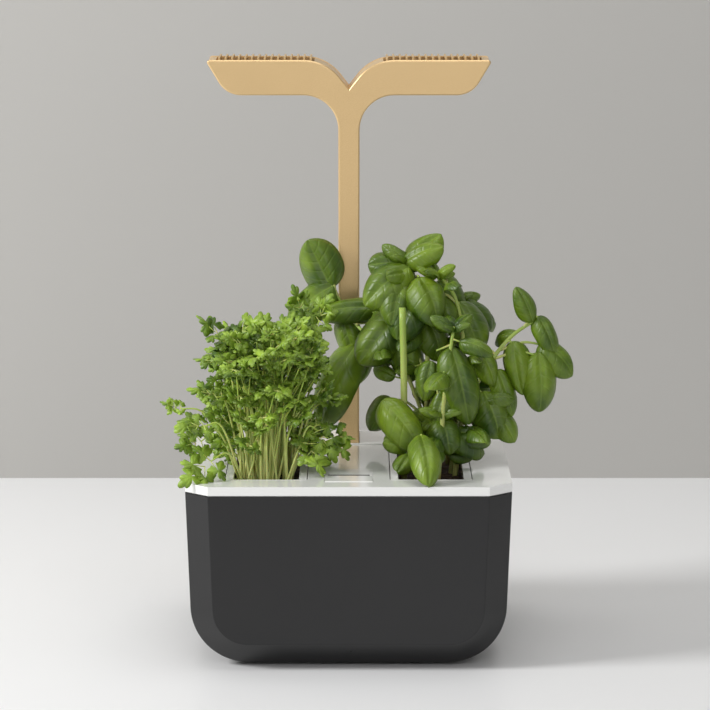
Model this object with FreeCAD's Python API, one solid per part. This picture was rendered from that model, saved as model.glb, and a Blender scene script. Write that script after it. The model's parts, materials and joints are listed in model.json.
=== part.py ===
import FreeCAD, Part
import math
import os
from FreeCAD import Vector

# Countertop hydroponic garden: a bevelled water tank, a lift-off growing tray with two herb pods,
# a fill flap between them and a plug-in lamp shaped like a sprout.
# X is to the right, Y is to the back, Z is up. The origin is on the table under the middle.
# All sizes are in millimetres.

# Tank
BODY_WIDTH = 180.0
BODY_DEPTH = 180.0
BODY_HEIGHT = 95.7
SIDE_DRAFT = 2.2
EDGE_BEVEL = 12.9
BOTTOM_RADIUS = 32.0
TANK_WALL = 2.4

# Rubber feet
FOOT_RADIUS = 8.0
FOOT_HEIGHT = 2.0
FOOT_SEAT = 0.8
FOOT_INSET_X = 53.0
FOOT_INSET_Y = 30.0

# Growing tray
RIM_HEIGHT = 4.9
RIM_WALL = 2.4
SHADOW_GAP = 0.5
SHADOW_DEPTH = 1.0
PLATE_THICKNESS = 2.4
SKIRT_CLEARANCE = 0.6
SKIRT_WALL = 1.6
SKIRT_DROP = 6.0

# Pods and the wells that hold them
POD_WIDTH = 45.9
POD_FRONT_MARGIN = 20.0
POD_HEIGHT = 56.0
POD_CORNER = 3.0
POD_CLEARANCE = 0.45
BRIDGE_WIDTH = 45.4
WELL_WALL = 1.6
CUP_WALL = 1.2
FRAME_BORDER = 4.8
FRAME_FRONT_BORDER = 2.5
FRAME_THICKNESS = 3.0
FRAME_LIP = 2.0
SOIL_DROP = 6.5
WICK_WIDTH = 12.0
WICK_THICKNESS = 2.0
WICK_CLEARANCE = 1.2
WICK_FLOOR_GAP = 14.0
WELL_DRAIN_RADIUS = 3.0
WELL_DRAIN_SPACING = 36.0

# Fill hatch in the bridge between the pods
HATCH_WIDTH = 27.0
FLAP_FRONT_MARGIN = 15.5
FLAP_LENGTH = 18.5
FINGER_GAP = 4.0
SCOOP_LENGTH = 15.0
SCOOP_DEPTH = 5.0
THROAT_DEPTH = 15.0
FLAP_THICKNESS = 2.0
FLAP_CORNER = 3.0
FLAP_GAP = 0.3
HATCH_LEDGE = 2.0
HATCH_FLOOR = 1.4
FLAP_PIN_RADIUS = 0.9
FLAP_PIN_CLEARANCE = 0.08
FLAP_BARREL_RADIUS = 1.7
FLAP_PIN_GRIP = 2.5
FLAP_PIN_DROP = 0.1
FLAP_NOSE_GAP = 1.3
FLAP_BARREL_GAP = 0.8
FLAP_FLOOR_GAP = 0.6
FLAP_REST_GAP = 0.05
FLAP_LIP_DEPTH = 1.4
FLAP_LIP_DROP = 1.2

# Lamp socket and electronics housing
CAP_WIDTH = 44.8
CAP_FRONT_MARGIN = 2.9
CAP_BACK_MARGIN = 1.4
CAP_CORNER = 1.5
CAP_CHAMFER = 0.4
CAP_RISE = 0.6
CAP_FIT = 0.3
HOUSING_WIDTH = 41.0
HOUSING_WALL = 1.8
HOUSING_STEP = 0.2
PANEL_THICKNESS = 2.7
SOCKET_DEPTH = 18.0
SOCKET_CLEARANCE = 0.3
SOCKET_WALL = 1.6
BOARD_THICKNESS = 1.6
BOARD_BELOW_SOCKET = 1.5
BOARD_CLEARANCE = 0.5
LID_THICKNESS = 2.0
LID_POST_RADIUS = 2.0
LID_POST_HEIGHT = 2.0
LID_POST_ASIDE = 12.0
LID_POST_TO_FRONT = 4.45
LID_POST_TO_BACK = 11.55
BOSS_RADIUS = 2.5
BOSS_HEIGHT = 12.0
LID_SCREW_RADIUS = 1.1
LID_SCREW_LENGTH = 9.0
LID_SCREW_HEAD_RADIUS = 2.0
LID_SCREW_HEAD_HEIGHT = 1.2
PANEL_TOP_GAP = 0.2

# Power inlet, power button and switch on the back of the housing
INLET_ASIDE = 13.2
INLET_AXIS_ABOVE_BOARD = 6.5
INLET_WIDTH = 9.0
INLET_HEIGHT = 11.0
INLET_LENGTH = 13.0
INLET_HOLE_RADIUS = 2.8
INLET_HOLE_DEPTH = 9.5
INLET_PIN_RADIUS = 1.05
INLET_MOUTH_RADIUS = 4.4
BUTTON_ASIDE = 13.2
BUTTON_RADIUS = 3.5
BUTTON_CLEARANCE = 0.2
BUTTON_FLANGE_RADIUS = 4.6
BUTTON_FLANGE = 1.2
BUTTON_TRAVEL = 1.2
BUTTON_BELOW_FACE = 0.2
BUTTON_EDGE = 0.5
BUTTON_DISH_RADIUS = 5.6
BUTTON_DISH_DEPTH = 0.8
SWITCH_SIZE = 6.0
SWITCH_DEPTH = 3.5
SWITCH_PLUNGER_RADIUS = 1.5
SWITCH_PLUNGER_REACH = 0.8
SWITCH_GAP = 0.1

# Lamp
LAMP_BACK_MARGIN = 6.7
LAMP_DEPTH = 39.1
LAMP_TOP = 327.0
LAMP_HALF_SPAN = 82.8
WING_HEIGHT = 20.3
NOTCH_DROP = 16.8
NOTCH_SLOPE = 52.0
SHOULDER_RADIUS = 27.0
ARMPIT_RADIUS = 20.0
TIP_SLANT = 31.0
TIP_RADIUS = 15.0
TIP_CORNER = 1.5
STEM_WIDTH_TOP = 12.4
STEM_WIDTH_FOOT = 11.8
COVER_THICKNESS = 2.5
COVER_BEVEL = 0.7
CHANNEL_INSET = 0.3
CHANNEL_WALL = 2.0
LAMP_SCREW_RADIUS = 1.2
LAMP_SCREW_HEAD_RADIUS = 2.2
LAMP_SCREW_LENGTH = 8.0
LAMP_SCREW_SEAT = 1.2
LAMP_SCREW_HEAD = 1.0
LAMP_BOSS_WALL = 1.6
WING_SCREW_TIP_MARGIN = 12.5
WING_SCREW_DROP = 2.5
WING_SCREW_INNER = 17.0
STEM_SCREW_TOP_GAP = 40.0
STEM_SCREW_FOOT_GAP = 30.0

# Heat sink fins on the wings
FIN_PITCH = 3.77
FIN_THICKNESS = 1.1
FIN_RISE = 1.3
FIN_START = 22.0
FIN_TIP_MARGIN = 8.0
FIN_END_GAP = 1.5
FIN_WINDOW_EDGE = 1.0
FIN_EDGE_GAP = 1.4
SINK_BASE = 1.7
SINK_TOP_BELOW_LAMP = 7.0

# Light boards and diffusers
LED_BOARD_INNER = 27.0
LED_BOARD_TIP_MARGIN = 17.8
LED_BOARD_EDGE_MARGIN = 2.55
LED_COLUMNS = 6
LED_ROWS = 2
LED_LENGTH = 3.5
LED_WIDTH = 2.8
LED_HEIGHT = 0.8
WINDOW_INNER = 28.0
WINDOW_TIP_MARGIN = 21.8
WINDOW_EDGE_MARGIN = 4.05
WINDOW_FIT = 0.1
DIFFUSER_FLANGE = 1.5

# Lamp wiring and plug
RIBBON_THICKNESS = 0.8
RIBBON_WIDTH = 5.0
RIBBON_OFFSET = 1.2
PLUG_LENGTH = 24.0
PLUG_HEIGHT = 12.0
PLUG_FIT = 0.1
PLUG_RISE = 1.3
PIN_COUNT = 4
PIN_PITCH = 5.0
PIN_SIDE = 1.0
PIN_REACH = 3.6
PIN_HOLE_SIDE = 1.6
PIN_HOLE_DEPTH = 4.2
CONNECTOR_WIDTH = 6.8
CONNECTOR_LENGTH = 21.6
CONNECTOR_RISE = 1.2

# Herbs
PLANT_REACH = 112.0
LEAF_THICKNESS = 0.9
STEM_SIDES = 6
BLADE_STEPS = 5
BASIL_DROOP = 0.35
BASIL_FOLD = 0.3
PARSLEY_NOTCHES = 8
PARSLEY_STEMS = 18
PARSLEY_STEM_RADIUS = 0.9
PARSLEY_LEAF = 24.0
PARSLEY_CROWN = 186.0
PARSLEY_RIGHT_LIMIT = -14.0
PARSLEY_BACK_LIMIT = 16.0

# Values that follow from the sizes above
half_width = BODY_WIDTH / 2
half_depth = BODY_DEPTH / 2
lamp_back = half_depth - LAMP_BACK_MARGIN
lamp_front = lamp_back - LAMP_DEPTH
lamp_middle = (lamp_front + lamp_back) / 2
cap_front = lamp_front - CAP_FRONT_MARGIN
cap_back = lamp_back + CAP_BACK_MARGIN
housing_back = half_depth - PANEL_THICKNESS
pod_front = -half_depth + POD_FRONT_MARGIN
pod_back = cap_front - CAP_FIT
flap_front = -half_depth + FLAP_FRONT_MARGIN
flap_back = flap_front + FLAP_LENGTH
scoop_end = flap_back + FINGER_GAP
hatch_back = scoop_end + SCOOP_LENGTH
inlet_x = -INLET_ASIDE
button_x = BUTTON_ASIDE
body_bottom = FOOT_HEIGHT
body_top = body_bottom + BODY_HEIGHT
rim_bottom = body_top + SHADOW_GAP
plate_top = rim_bottom + RIM_HEIGHT
plate_under = plate_top - PLATE_THICKNESS
pod_inner = BRIDGE_WIDTH / 2
pod_outer = pod_inner + POD_WIDTH
well_floor = plate_top - POD_HEIGHT
socket_floor = plate_top - SOCKET_DEPTH
board_top = socket_floor - SOCKET_WALL - BOARD_BELOW_SOCKET
board_bottom = board_top - BOARD_THICKNESS
housing_bottom = board_bottom - LID_POST_HEIGHT
lid_bottom = housing_bottom - LID_THICKNESS
housing_half = HOUSING_WIDTH / 2
housing_front = cap_front + HOUSING_STEP
inlet_z = board_top + INLET_AXIS_ABOVE_BOARD
channel_front = lamp_front + COVER_THICKNESS
channel_back = lamp_back - COVER_THICKNESS
channel_depth = channel_back - channel_front
fin_count = int((LAMP_HALF_SPAN - FIN_TIP_MARGIN - FIN_START) / FIN_PITCH) + 1
led_board_length = LAMP_HALF_SPAN - LED_BOARD_TIP_MARGIN - LED_BOARD_INNER
led_board_width = channel_depth - 2 * LED_BOARD_EDGE_MARGIN
window_length = LAMP_HALF_SPAN - WINDOW_TIP_MARGIN - WINDOW_INNER
window_width = channel_depth - 2 * WINDOW_EDGE_MARGIN
lamp_under = LAMP_TOP - WING_HEIGHT
stem_foot = socket_floor + SOCKET_CLEARANCE
sink_base_top = LAMP_TOP - SINK_TOP_BELOW_LAMP
sink_base_bottom = sink_base_top - SINK_BASE
led_board_bottom = sink_base_bottom - BOARD_THICKNESS
window_top = lamp_under + CHANNEL_INSET + CHANNEL_WALL
soil_top = plate_top - SOIL_DROP
TINY = 0.01


# Basic shapes
def block(x_low, x_high, y_low, y_high, z_low, z_high):
    corner = Vector(x_low, y_low, z_low)
    return Part.makeBox(x_high - x_low, y_high - y_low, z_high - z_low, corner)


def rod(start, end, radius, end_radius=None):
    along = end - start
    if end_radius is None or abs(end_radius - radius) < TINY:
        return Part.makeCylinder(radius, along.Length, start, along)
    return Part.makeCone(radius, end_radius, along.Length, start, along)


def upright(y):
    return lambda across, up: Vector(across, y, up)


def level(z):
    return lambda across, back: Vector(across, back, z)


def sideways(x):
    return lambda back, up: Vector(x, back, up)


# A closed outline is a list of corners (a, b, radius), counterclockwise.
def rounded_wire(corners, place):
    count = len(corners)
    entries = []
    for index, (a, b, radius) in enumerate(corners):
        before = corners[index - 1]
        after = corners[(index + 1) % count]
        corner = Vector(a, b, 0)
        to_before = (Vector(before[0], before[1], 0) - corner).normalize()
        to_after = (Vector(after[0], after[1], 0) - corner).normalize()
        opening = to_before.getAngle(to_after)
        if radius < TINY or opening > math.pi - TINY:
            entries.append((corner, corner, corner))
            continue
        reach = radius / math.tan(opening / 2)
        centre_direction = (to_before + to_after).normalize()
        centre = corner + centre_direction * (radius / math.sin(opening / 2))
        middle = centre - centre_direction * radius
        entries.append((corner + to_before * reach, middle, corner + to_after * reach))
    edges = []
    for index, (start, middle, end) in enumerate(entries):
        if (end - start).Length > TINY:
            arc = Part.Arc(place(start.x, start.y), place(middle.x, middle.y), place(end.x, end.y))
            edges.append(arc.toShape())
        following = entries[(index + 1) % count][0]
        if (following - end).Length > TINY:
            edges.append(Part.makeLine(place(end.x, end.y), place(following.x, following.y)))
    return Part.Wire(edges)


def inset(corners, distance):
    # Each side moves inward by the distance. Outer corners tighten and inner corners open out.
    count = len(corners)
    moved = []
    for index, (a, b, radius) in enumerate(corners):
        before = corners[index - 1]
        after = corners[(index + 1) % count]
        into = Vector(a - before[0], b - before[1], 0).normalize()
        out = Vector(after[0] - a, after[1] - b, 0).normalize()
        turn = into.x * out.y - into.y * out.x
        shift = Vector(-into.y, into.x, 0) + Vector(-out.y, out.x, 0)
        scale = distance / (1 + into.dot(out))
        if radius > TINY:
            radius = max(radius - math.copysign(distance, turn), 0.0)
        moved.append((a + shift.x * scale, b + shift.y * scale, radius))
    return moved


def prism(corners, place, travel):
    return Part.Face(rounded_wire(corners, place)).extrude(travel)


def slab(corners, z_low, z_high):
    return prism(corners, level(z_low), Vector(0, 0, z_high - z_low))


def rectangle(x_low, x_high, y_low, y_high, radius=0.0):
    return [(x_low, y_low, radius), (x_high, y_low, radius), (x_high, y_high, radius), (x_low, y_high, radius)]


def mirrored(shape):
    return shape.mirror(Vector(0, 0, 0), Vector(1, 0, 0))


def fused(pieces):
    return pieces[0].multiFuse(pieces[1:]).removeSplitter()


# Tank: a U-shaped section drawn from front to back, bevelled all round its front and back edges.
def body_section(shrink, z_top):
    lean = math.tan(math.radians(SIDE_DRAFT))
    side_shift = shrink / math.cos(math.radians(SIDE_DRAFT))
    z_low = body_bottom + shrink
    top_x = half_width - (body_top - z_top) * lean - side_shift
    low_x = half_width - (body_top - z_low) * lean - side_shift
    radius = BOTTOM_RADIUS - shrink
    return [(-top_x, z_top, 0), (-low_x, z_low, radius), (low_x, z_low, radius), (top_x, z_top, 0)]


def body_block(wall, z_top):
    # The bevel keeps its angle when the form is inset by a wall.
    corner_gain = (math.sqrt(2) - 1) * wall
    face_y = half_depth - wall
    side_y = half_depth - EDGE_BEVEL - corner_gain
    face_shrink = EDGE_BEVEL + corner_gain
    stations = [(-face_y, face_shrink), (-side_y, wall), (side_y, wall), (face_y, face_shrink)]
    wires = [rounded_wire(body_section(shrink, z_top), upright(y)) for y, shrink in stations]
    return Part.makeLoft(wires, True, True)


def foot_places():
    x = half_width - FOOT_INSET_X
    y = half_depth - FOOT_INSET_Y
    return {
        "front_left": Vector(-x, -y, 0),
        "front_right": Vector(x, -y, 0),
        "back_left": Vector(-x, y, 0),
        "back_right": Vector(x, y, 0),
    }


def make_tank_shell():
    shell = body_block(0, body_top).cut(body_block(TANK_WALL, body_top + 1))
    notch_half = housing_half + CAP_FIT
    notch = block(-notch_half, notch_half, housing_back - 2, half_depth + 1, housing_bottom, body_top + 1)
    shell = shell.cut(notch)
    for place in foot_places().values():
        seat = Part.makeCylinder(FOOT_RADIUS, FOOT_SEAT, place + Vector(0, 0, body_bottom))
        shell = shell.cut(seat)
    return shell


def make_foot(place):
    edge = FOOT_HEIGHT / 3
    pad = Part.makeCone(FOOT_RADIUS - edge, FOOT_RADIUS, edge, place)
    stem = Part.makeCylinder(FOOT_RADIUS, FOOT_HEIGHT + FOOT_SEAT - edge, place + Vector(0, 0, edge))
    return pad.fuse(stem).removeSplitter()


# Growing tray
def plan_outline(shrink):
    x = half_width - shrink
    y = half_depth - shrink
    leg = EDGE_BEVEL - (2 - math.sqrt(2)) * shrink
    return [
        (-x + leg, -y, 0),
        (x - leg, -y, 0),
        (x, -y + leg, 0),
        (x, y - leg, 0),
        (x - leg, y, 0),
        (-x + leg, y, 0),
        (-x, y - leg, 0),
        (-x, -y + leg, 0),
    ]


def ring(outer_shrink, inner_shrink, z_low, z_high):
    return slab(plan_outline(outer_shrink), z_low, z_high).cut(slab(plan_outline(inner_shrink), z_low, z_high))


def well_outline(grow):
    return rectangle(
        pod_inner - grow, pod_outer + grow, pod_front - grow, pod_back + grow, POD_CORNER + grow
    )


def hatch_cut():
    half = HATCH_WIDTH / 2
    scoop = [
        (hatch_back, plate_top, 0),
        (hatch_back, plate_top + 1, 0),
        (scoop_end, plate_top + 1, 0),
        (scoop_end, plate_top - SCOOP_DEPTH, 0),
    ]
    front = flap_front - FLAP_NOSE_GAP
    hinge_back = flap_front + 2 * FLAP_BARREL_RADIUS + FLAP_BARREL_GAP
    hinge_floor = plate_top - 2 * FLAP_BARREL_RADIUS - FLAP_FLOOR_GAP
    ledge = plate_top - FLAP_THICKNESS - FLAP_REST_GAP
    pocket = [
        (front, plate_top + 1, 0),
        (front, hinge_floor, 0),
        (hinge_back, hinge_floor, 0),
        (hinge_back, ledge, 0),
        (scoop_end, ledge, 0),
        (scoop_end, plate_top + 1, 0),
    ]
    travel = Vector(HATCH_WIDTH, 0, 0)
    cut = prism(scoop, sideways(-half), travel)
    cut = cut.fuse(prism(pocket, sideways(-half), travel))
    mouth = half - HATCH_LEDGE
    throat = block(-mouth, mouth, hinge_back - TINY, scoop_end, plate_top - THROAT_DEPTH, plate_top)
    return cut.fuse(throat)


def flap_pin_axis():
    return Vector(0, flap_front + FLAP_BARREL_RADIUS, plate_top - FLAP_BARREL_RADIUS - FLAP_PIN_DROP)


def make_growing_tray():
    tray = slab(plan_outline(0), rim_bottom, plate_top).cut(slab(plan_outline(RIM_WALL), rim_bottom, plate_under))
    tray = tray.fuse(ring(SHADOW_DEPTH, TANK_WALL, body_top, rim_bottom + TINY))
    skirt_at = TANK_WALL + SKIRT_CLEARANCE
    tray = tray.fuse(ring(skirt_at, skirt_at + SKIRT_WALL, body_top - SKIRT_DROP, plate_under + TINY))
    tray = tray.fuse(ring(SHADOW_DEPTH, skirt_at + SKIRT_WALL, rim_bottom, plate_under + TINY))
    half = HATCH_WIDTH / 2 + HATCH_FLOOR
    trough_front = flap_front - FLAP_NOSE_GAP - HATCH_FLOOR
    trough = block(-half, half, trough_front, hatch_back, plate_top - SCOOP_DEPTH - HATCH_FLOOR, plate_under)
    tray = tray.fuse(trough)
    well = slab(well_outline(WELL_WALL), well_floor - WELL_WALL, plate_under)
    tray = tray.multiFuse([well, mirrored(well)])
    hollow = slab(well_outline(0), well_floor, plate_top + 1)
    tray = tray.cut(hollow).cut(mirrored(hollow))
    middle_x = (pod_inner + pod_outer) / 2
    middle_y = (pod_front + pod_back) / 2
    wick_half_x = WICK_WIDTH / 2 + WICK_CLEARANCE
    wick_half_y = WICK_THICKNESS / 2 + WICK_CLEARANCE
    slot = block(
        middle_x - wick_half_x,
        middle_x + wick_half_x,
        middle_y - wick_half_y,
        middle_y + wick_half_y,
        well_floor - WELL_WALL - 1,
        well_floor + 1,
    )
    openings = [slot]
    for side in (-1, 1):
        centre = Vector(middle_x, middle_y + side * WELL_DRAIN_SPACING, well_floor - WELL_WALL - 1)
        openings.append(Part.makeCylinder(WELL_DRAIN_RADIUS, WELL_WALL + 2, centre))
    for opening in openings:
        tray = tray.cut(opening).cut(mirrored(opening))
    tray = tray.cut(hatch_cut())
    axis = flap_pin_axis()
    reach = Vector(HATCH_WIDTH / 2 + FLAP_PIN_GRIP, 0, 0)
    tray = tray.cut(rod(axis - reach, axis + reach, FLAP_PIN_RADIUS))
    cap_half = CAP_WIDTH / 2 + CAP_FIT
    tray = tray.cut(
        block(-cap_half, cap_half, cap_front - CAP_FIT, cap_back + CAP_FIT, plate_under - TINY, plate_top + 1)
    )
    bay_half = housing_half + CAP_FIT
    bay_back = half_depth - RIM_WALL
    tray = tray.cut(block(-bay_half, bay_half, cap_back - 5, bay_back, body_top - SKIRT_DROP - 1, plate_under))
    tray = tray.cut(block(-bay_half, bay_half, cap_back - 5, half_depth + 1, body_top - SKIRT_DROP - 1, rim_bottom))
    return tray.removeSplitter()


# Fill flap: it lies over the fill hole and lifts by its back edge, above the finger scoop.
def make_fill_flap():
    half = HATCH_WIDTH / 2 - FLAP_GAP
    axis = flap_pin_axis()
    under = plate_top - FLAP_THICKNESS
    corners = [
        (-half, axis.y, 0),
        (half, axis.y, 0),
        (half, flap_back, FLAP_CORNER),
        (-half, flap_back, FLAP_CORNER),
    ]
    flap = slab(corners, under, plate_top)
    barrel = rod(axis - Vector(half, 0, 0), axis + Vector(half, 0, 0), FLAP_BARREL_RADIUS)
    flap = flap.fuse(barrel)
    lip = block(-half / 2, half / 2, flap_back - FLAP_LIP_DEPTH, flap_back, under - FLAP_LIP_DROP, under)
    flap = flap.fuse(lip)
    reach = Vector(half + 1, 0, 0)
    return flap.cut(rod(axis - reach, axis + reach, FLAP_PIN_RADIUS + FLAP_PIN_CLEARANCE))


def make_flap_pin():
    axis = flap_pin_axis()
    reach = Vector(HATCH_WIDTH / 2 + FLAP_PIN_GRIP, 0, 0)
    return rod(axis - reach, axis + reach, FLAP_PIN_RADIUS)


# Lamp socket: the raised cap behind the pods, with the electronics housing under it.
def lid_screw_places():
    x = housing_half - HOUSING_WALL - BOSS_RADIUS + 0.3
    front = housing_front + HOUSING_WALL + BOSS_RADIUS - 0.3
    back = housing_back - INLET_LENGTH - BOSS_RADIUS - BOARD_CLEARANCE
    return [Vector(side * x, y, housing_bottom) for side in (-1, 1) for y in (front, back)]


def make_lamp_socket():
    cap_half = CAP_WIDTH / 2
    cap = slab(rectangle(-cap_half, cap_half, cap_front, cap_back, CAP_CORNER), plate_under, plate_top + CAP_RISE)
    rim = [edge for edge in cap.Edges if edge.BoundBox.ZMin > plate_top + CAP_RISE - TINY]
    cap = cap.makeChamfer(CAP_CHAMFER, rim)
    housing = block(-housing_half, housing_half, housing_front, housing_back, housing_bottom, plate_under - TINY)
    inner_half = housing_half - HOUSING_WALL
    hollow = block(
        -inner_half,
        inner_half,
        housing_front + HOUSING_WALL,
        housing_back - HOUSING_WALL,
        housing_bottom - 1,
        plate_under - HOUSING_WALL,
    )
    housing = housing.cut(hollow)
    panel = block(
        -housing_half, housing_half, housing_back - TINY, half_depth, housing_bottom, rim_bottom - PANEL_TOP_GAP
    )
    well_half = STEM_WIDTH_FOOT / 2 + SOCKET_CLEARANCE
    well_front = lamp_front - SOCKET_CLEARANCE
    well_back = lamp_back + SOCKET_CLEARANCE
    collar = block(
        -well_half - SOCKET_WALL,
        well_half + SOCKET_WALL,
        housing_front,
        well_back + SOCKET_WALL,
        socket_floor - SOCKET_WALL,
        plate_under,
    )
    bosses = [Part.makeCylinder(BOSS_RADIUS, BOSS_HEIGHT, place) for place in lid_screw_places()]
    shell = fused([cap, housing, panel, collar] + bosses)
    shell = shell.cut(block(-well_half, well_half, well_front, well_back, socket_floor, plate_top + CAP_RISE + 1))
    slot_x = CONNECTOR_WIDTH / 2 + CAP_FIT
    slot_y = CONNECTOR_LENGTH / 2 + CAP_FIT
    shell = shell.cut(
        block(-slot_x, slot_x, lamp_middle - slot_y, lamp_middle + slot_y, socket_floor - 5, socket_floor + 1)
    )
    for place in lid_screw_places():
        shell = shell.cut(Part.makeCylinder(LID_SCREW_RADIUS, LID_SCREW_LENGTH, place - Vector(0, 0, TINY)))
    inlet = Vector(inlet_x, housing_back - 5, inlet_z)
    shell = shell.cut(Part.makeCylinder(INLET_MOUTH_RADIUS, 20, inlet, Vector(0, 1, 0)))
    pocket_x = INLET_WIDTH / 2 + CAP_FIT
    shell = shell.cut(
        block(
            inlet_x - pocket_x,
            inlet_x + pocket_x,
            housing_back - 5,
            housing_back + CAP_FIT,
            board_top,
            board_top + INLET_HEIGHT + CAP_FIT,
        )
    )
    button = Vector(button_x, housing_back - 5, inlet_z)
    shell = shell.cut(Part.makeCylinder(BUTTON_RADIUS + BUTTON_CLEARANCE, 20, button, Vector(0, 1, 0)))
    dish = Vector(button_x, half_depth - BUTTON_DISH_DEPTH, inlet_z)
    shell = shell.cut(Part.makeCylinder(BUTTON_DISH_RADIUS, 5, dish, Vector(0, 1, 0)))
    return shell.removeSplitter()


def make_socket_lid():
    lid = block(-housing_half, housing_half, housing_front, housing_back, lid_bottom, housing_bottom)
    for x in (-LID_POST_ASIDE, LID_POST_ASIDE):
        for y in (housing_front + HOUSING_WALL + LID_POST_TO_FRONT, housing_back - LID_POST_TO_BACK):
            lid = lid.fuse(Part.makeCylinder(LID_POST_RADIUS, LID_POST_HEIGHT, Vector(x, y, housing_bottom)))
    for place in lid_screw_places():
        low = place - Vector(0, 0, LID_THICKNESS)
        lid = lid.cut(Part.makeCylinder(LID_SCREW_RADIUS, LID_THICKNESS + 1, low))
        lid = lid.cut(Part.makeCylinder(LID_SCREW_HEAD_RADIUS, LID_SCREW_HEAD_HEIGHT, low))
    return lid


def make_lid_screws():
    screws = []
    for place in lid_screw_places():
        low = place - Vector(0, 0, LID_THICKNESS)
        head = Part.makeCylinder(LID_SCREW_HEAD_RADIUS, LID_SCREW_HEAD_HEIGHT, low)
        shaft = Part.makeCylinder(LID_SCREW_RADIUS, LID_SCREW_LENGTH + LID_THICKNESS - 1, low)
        screws.append(head.fuse(shaft))
    return Part.makeCompound(screws)


def make_control_board():
    x = housing_half - HOUSING_WALL - BOARD_CLEARANCE
    front = housing_front + HOUSING_WALL + BOARD_CLEARANCE
    back = housing_back - HOUSING_WALL - BOARD_CLEARANCE
    board = block(-x, x, front, back, board_bottom, board_top)
    for place in lid_screw_places():
        low = Vector(place.x, place.y, board_bottom - 1)
        board = board.cut(Part.makeCylinder(BOSS_RADIUS + BOARD_CLEARANCE, BOARD_THICKNESS + 2, low))
    return board


def pin_places():
    first = -(PIN_COUNT - 1) / 2
    return [lamp_middle + (first + index) * PIN_PITCH for index in range(PIN_COUNT)]


def make_socket_connector():
    x = CONNECTOR_WIDTH / 2
    y = CONNECTOR_LENGTH / 2
    top = socket_floor + CONNECTOR_RISE
    connector = block(-x, x, lamp_middle - y, lamp_middle + y, board_top, top)
    side = PIN_HOLE_SIDE / 2
    for pin_y in pin_places():
        connector = connector.cut(block(-side, side, pin_y - side, pin_y + side, top - PIN_HOLE_DEPTH, top + 1))
    return connector


def make_power_inlet():
    x = INLET_WIDTH / 2
    front = housing_back
    body = block(inlet_x - x, inlet_x + x, front - INLET_LENGTH, front, board_top, board_top + INLET_HEIGHT)
    mouth = Vector(inlet_x, front - INLET_HOLE_DEPTH, inlet_z)
    body = body.cut(Part.makeCylinder(INLET_HOLE_RADIUS, INLET_HOLE_DEPTH + 1, mouth, Vector(0, 1, 0)))
    pin = Part.makeCylinder(INLET_PIN_RADIUS, INLET_HOLE_DEPTH, mouth - Vector(0, 0.5, 0), Vector(0, 1, 0))
    return body.fuse(pin)


def button_rear():
    return housing_back - HOUSING_WALL - BUTTON_FLANGE - CAP_FIT


def make_power_button():
    rear = Vector(button_x, button_rear(), inlet_z)
    flange = Part.makeCylinder(BUTTON_FLANGE_RADIUS, BUTTON_FLANGE, rear, Vector(0, 1, 0))
    length = half_depth - rear.y - BUTTON_BELOW_FACE
    cap = Part.makeCylinder(BUTTON_RADIUS, length, rear, Vector(0, 1, 0))
    rim = [edge for edge in cap.Edges if edge.BoundBox.YMin > rear.y + length - TINY]
    return cap.makeFillet(BUTTON_EDGE, rim).fuse(flange)


def make_button_switch():
    tip = button_rear() - BUTTON_TRAVEL - SWITCH_GAP
    back = tip - SWITCH_PLUNGER_REACH
    half = SWITCH_SIZE / 2
    body = block(button_x - half, button_x + half, back - SWITCH_DEPTH, back, board_top, inlet_z + half)
    plunger = Part.makeCylinder(
        SWITCH_PLUNGER_RADIUS, tip - back + 1, Vector(button_x, back - 1, inlet_z), Vector(0, 1, 0)
    )
    return body.fuse(plunger)


# Lamp: a sprout-shaped outline, seen from the front
def lamp_outline():
    tip_foot = LAMP_HALF_SPAN - WING_HEIGHT * math.tan(math.radians(TIP_SLANT))
    shoulder = NOTCH_DROP / math.tan(math.radians(NOTCH_SLOPE))
    notch = LAMP_TOP - NOTCH_DROP
    right = [
        (STEM_WIDTH_FOOT / 2, stem_foot, 0),
        (STEM_WIDTH_TOP / 2, lamp_under, ARMPIT_RADIUS),
        (tip_foot, lamp_under, TIP_RADIUS),
        (LAMP_HALF_SPAN, LAMP_TOP, TIP_CORNER),
        (shoulder, LAMP_TOP, SHOULDER_RADIUS),
    ]
    left = [(-a, b, radius) for a, b, radius in reversed(right)]
    return right + [(0, notch, 0)] + left


def make_lamp_cover(face_y, inner_y):
    # The visible edge is bevelled towards the outer face.
    step = math.copysign(COVER_BEVEL, inner_y - face_y)
    outline = lamp_outline()
    wires = [
        rounded_wire(inset(outline, COVER_BEVEL), upright(face_y)),
        rounded_wire(outline, upright(face_y + step)),
        rounded_wire(outline, upright(inner_y)),
    ]
    return Part.makeLoft(wires, True, True)


def make_front_cover():
    return make_lamp_cover(lamp_front, channel_front)


def lamp_screw_places():
    wing_z = lamp_under + WING_HEIGHT / 2
    places = []
    for side in (-1, 1):
        places.append((side * (LAMP_HALF_SPAN - WING_SCREW_TIP_MARGIN), wing_z - WING_SCREW_DROP))
        places.append((side * WING_SCREW_INNER, wing_z))
    places.append((0.0, lamp_under - STEM_SCREW_TOP_GAP))
    places.append((0.0, plate_top + STEM_SCREW_FOOT_GAP))
    return places


def make_rear_cover():
    cover = make_lamp_cover(lamp_back, channel_back)
    for x, z in lamp_screw_places():
        start = Vector(x, lamp_back + 1, z)
        end = Vector(x, channel_back - 1, z)
        cover = cover.cut(rod(start, end, LAMP_SCREW_RADIUS))
        seat = Vector(x, lamp_back - LAMP_SCREW_SEAT, z)
        cover = cover.cut(rod(seat, start, LAMP_SCREW_HEAD_RADIUS))
    return cover


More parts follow.
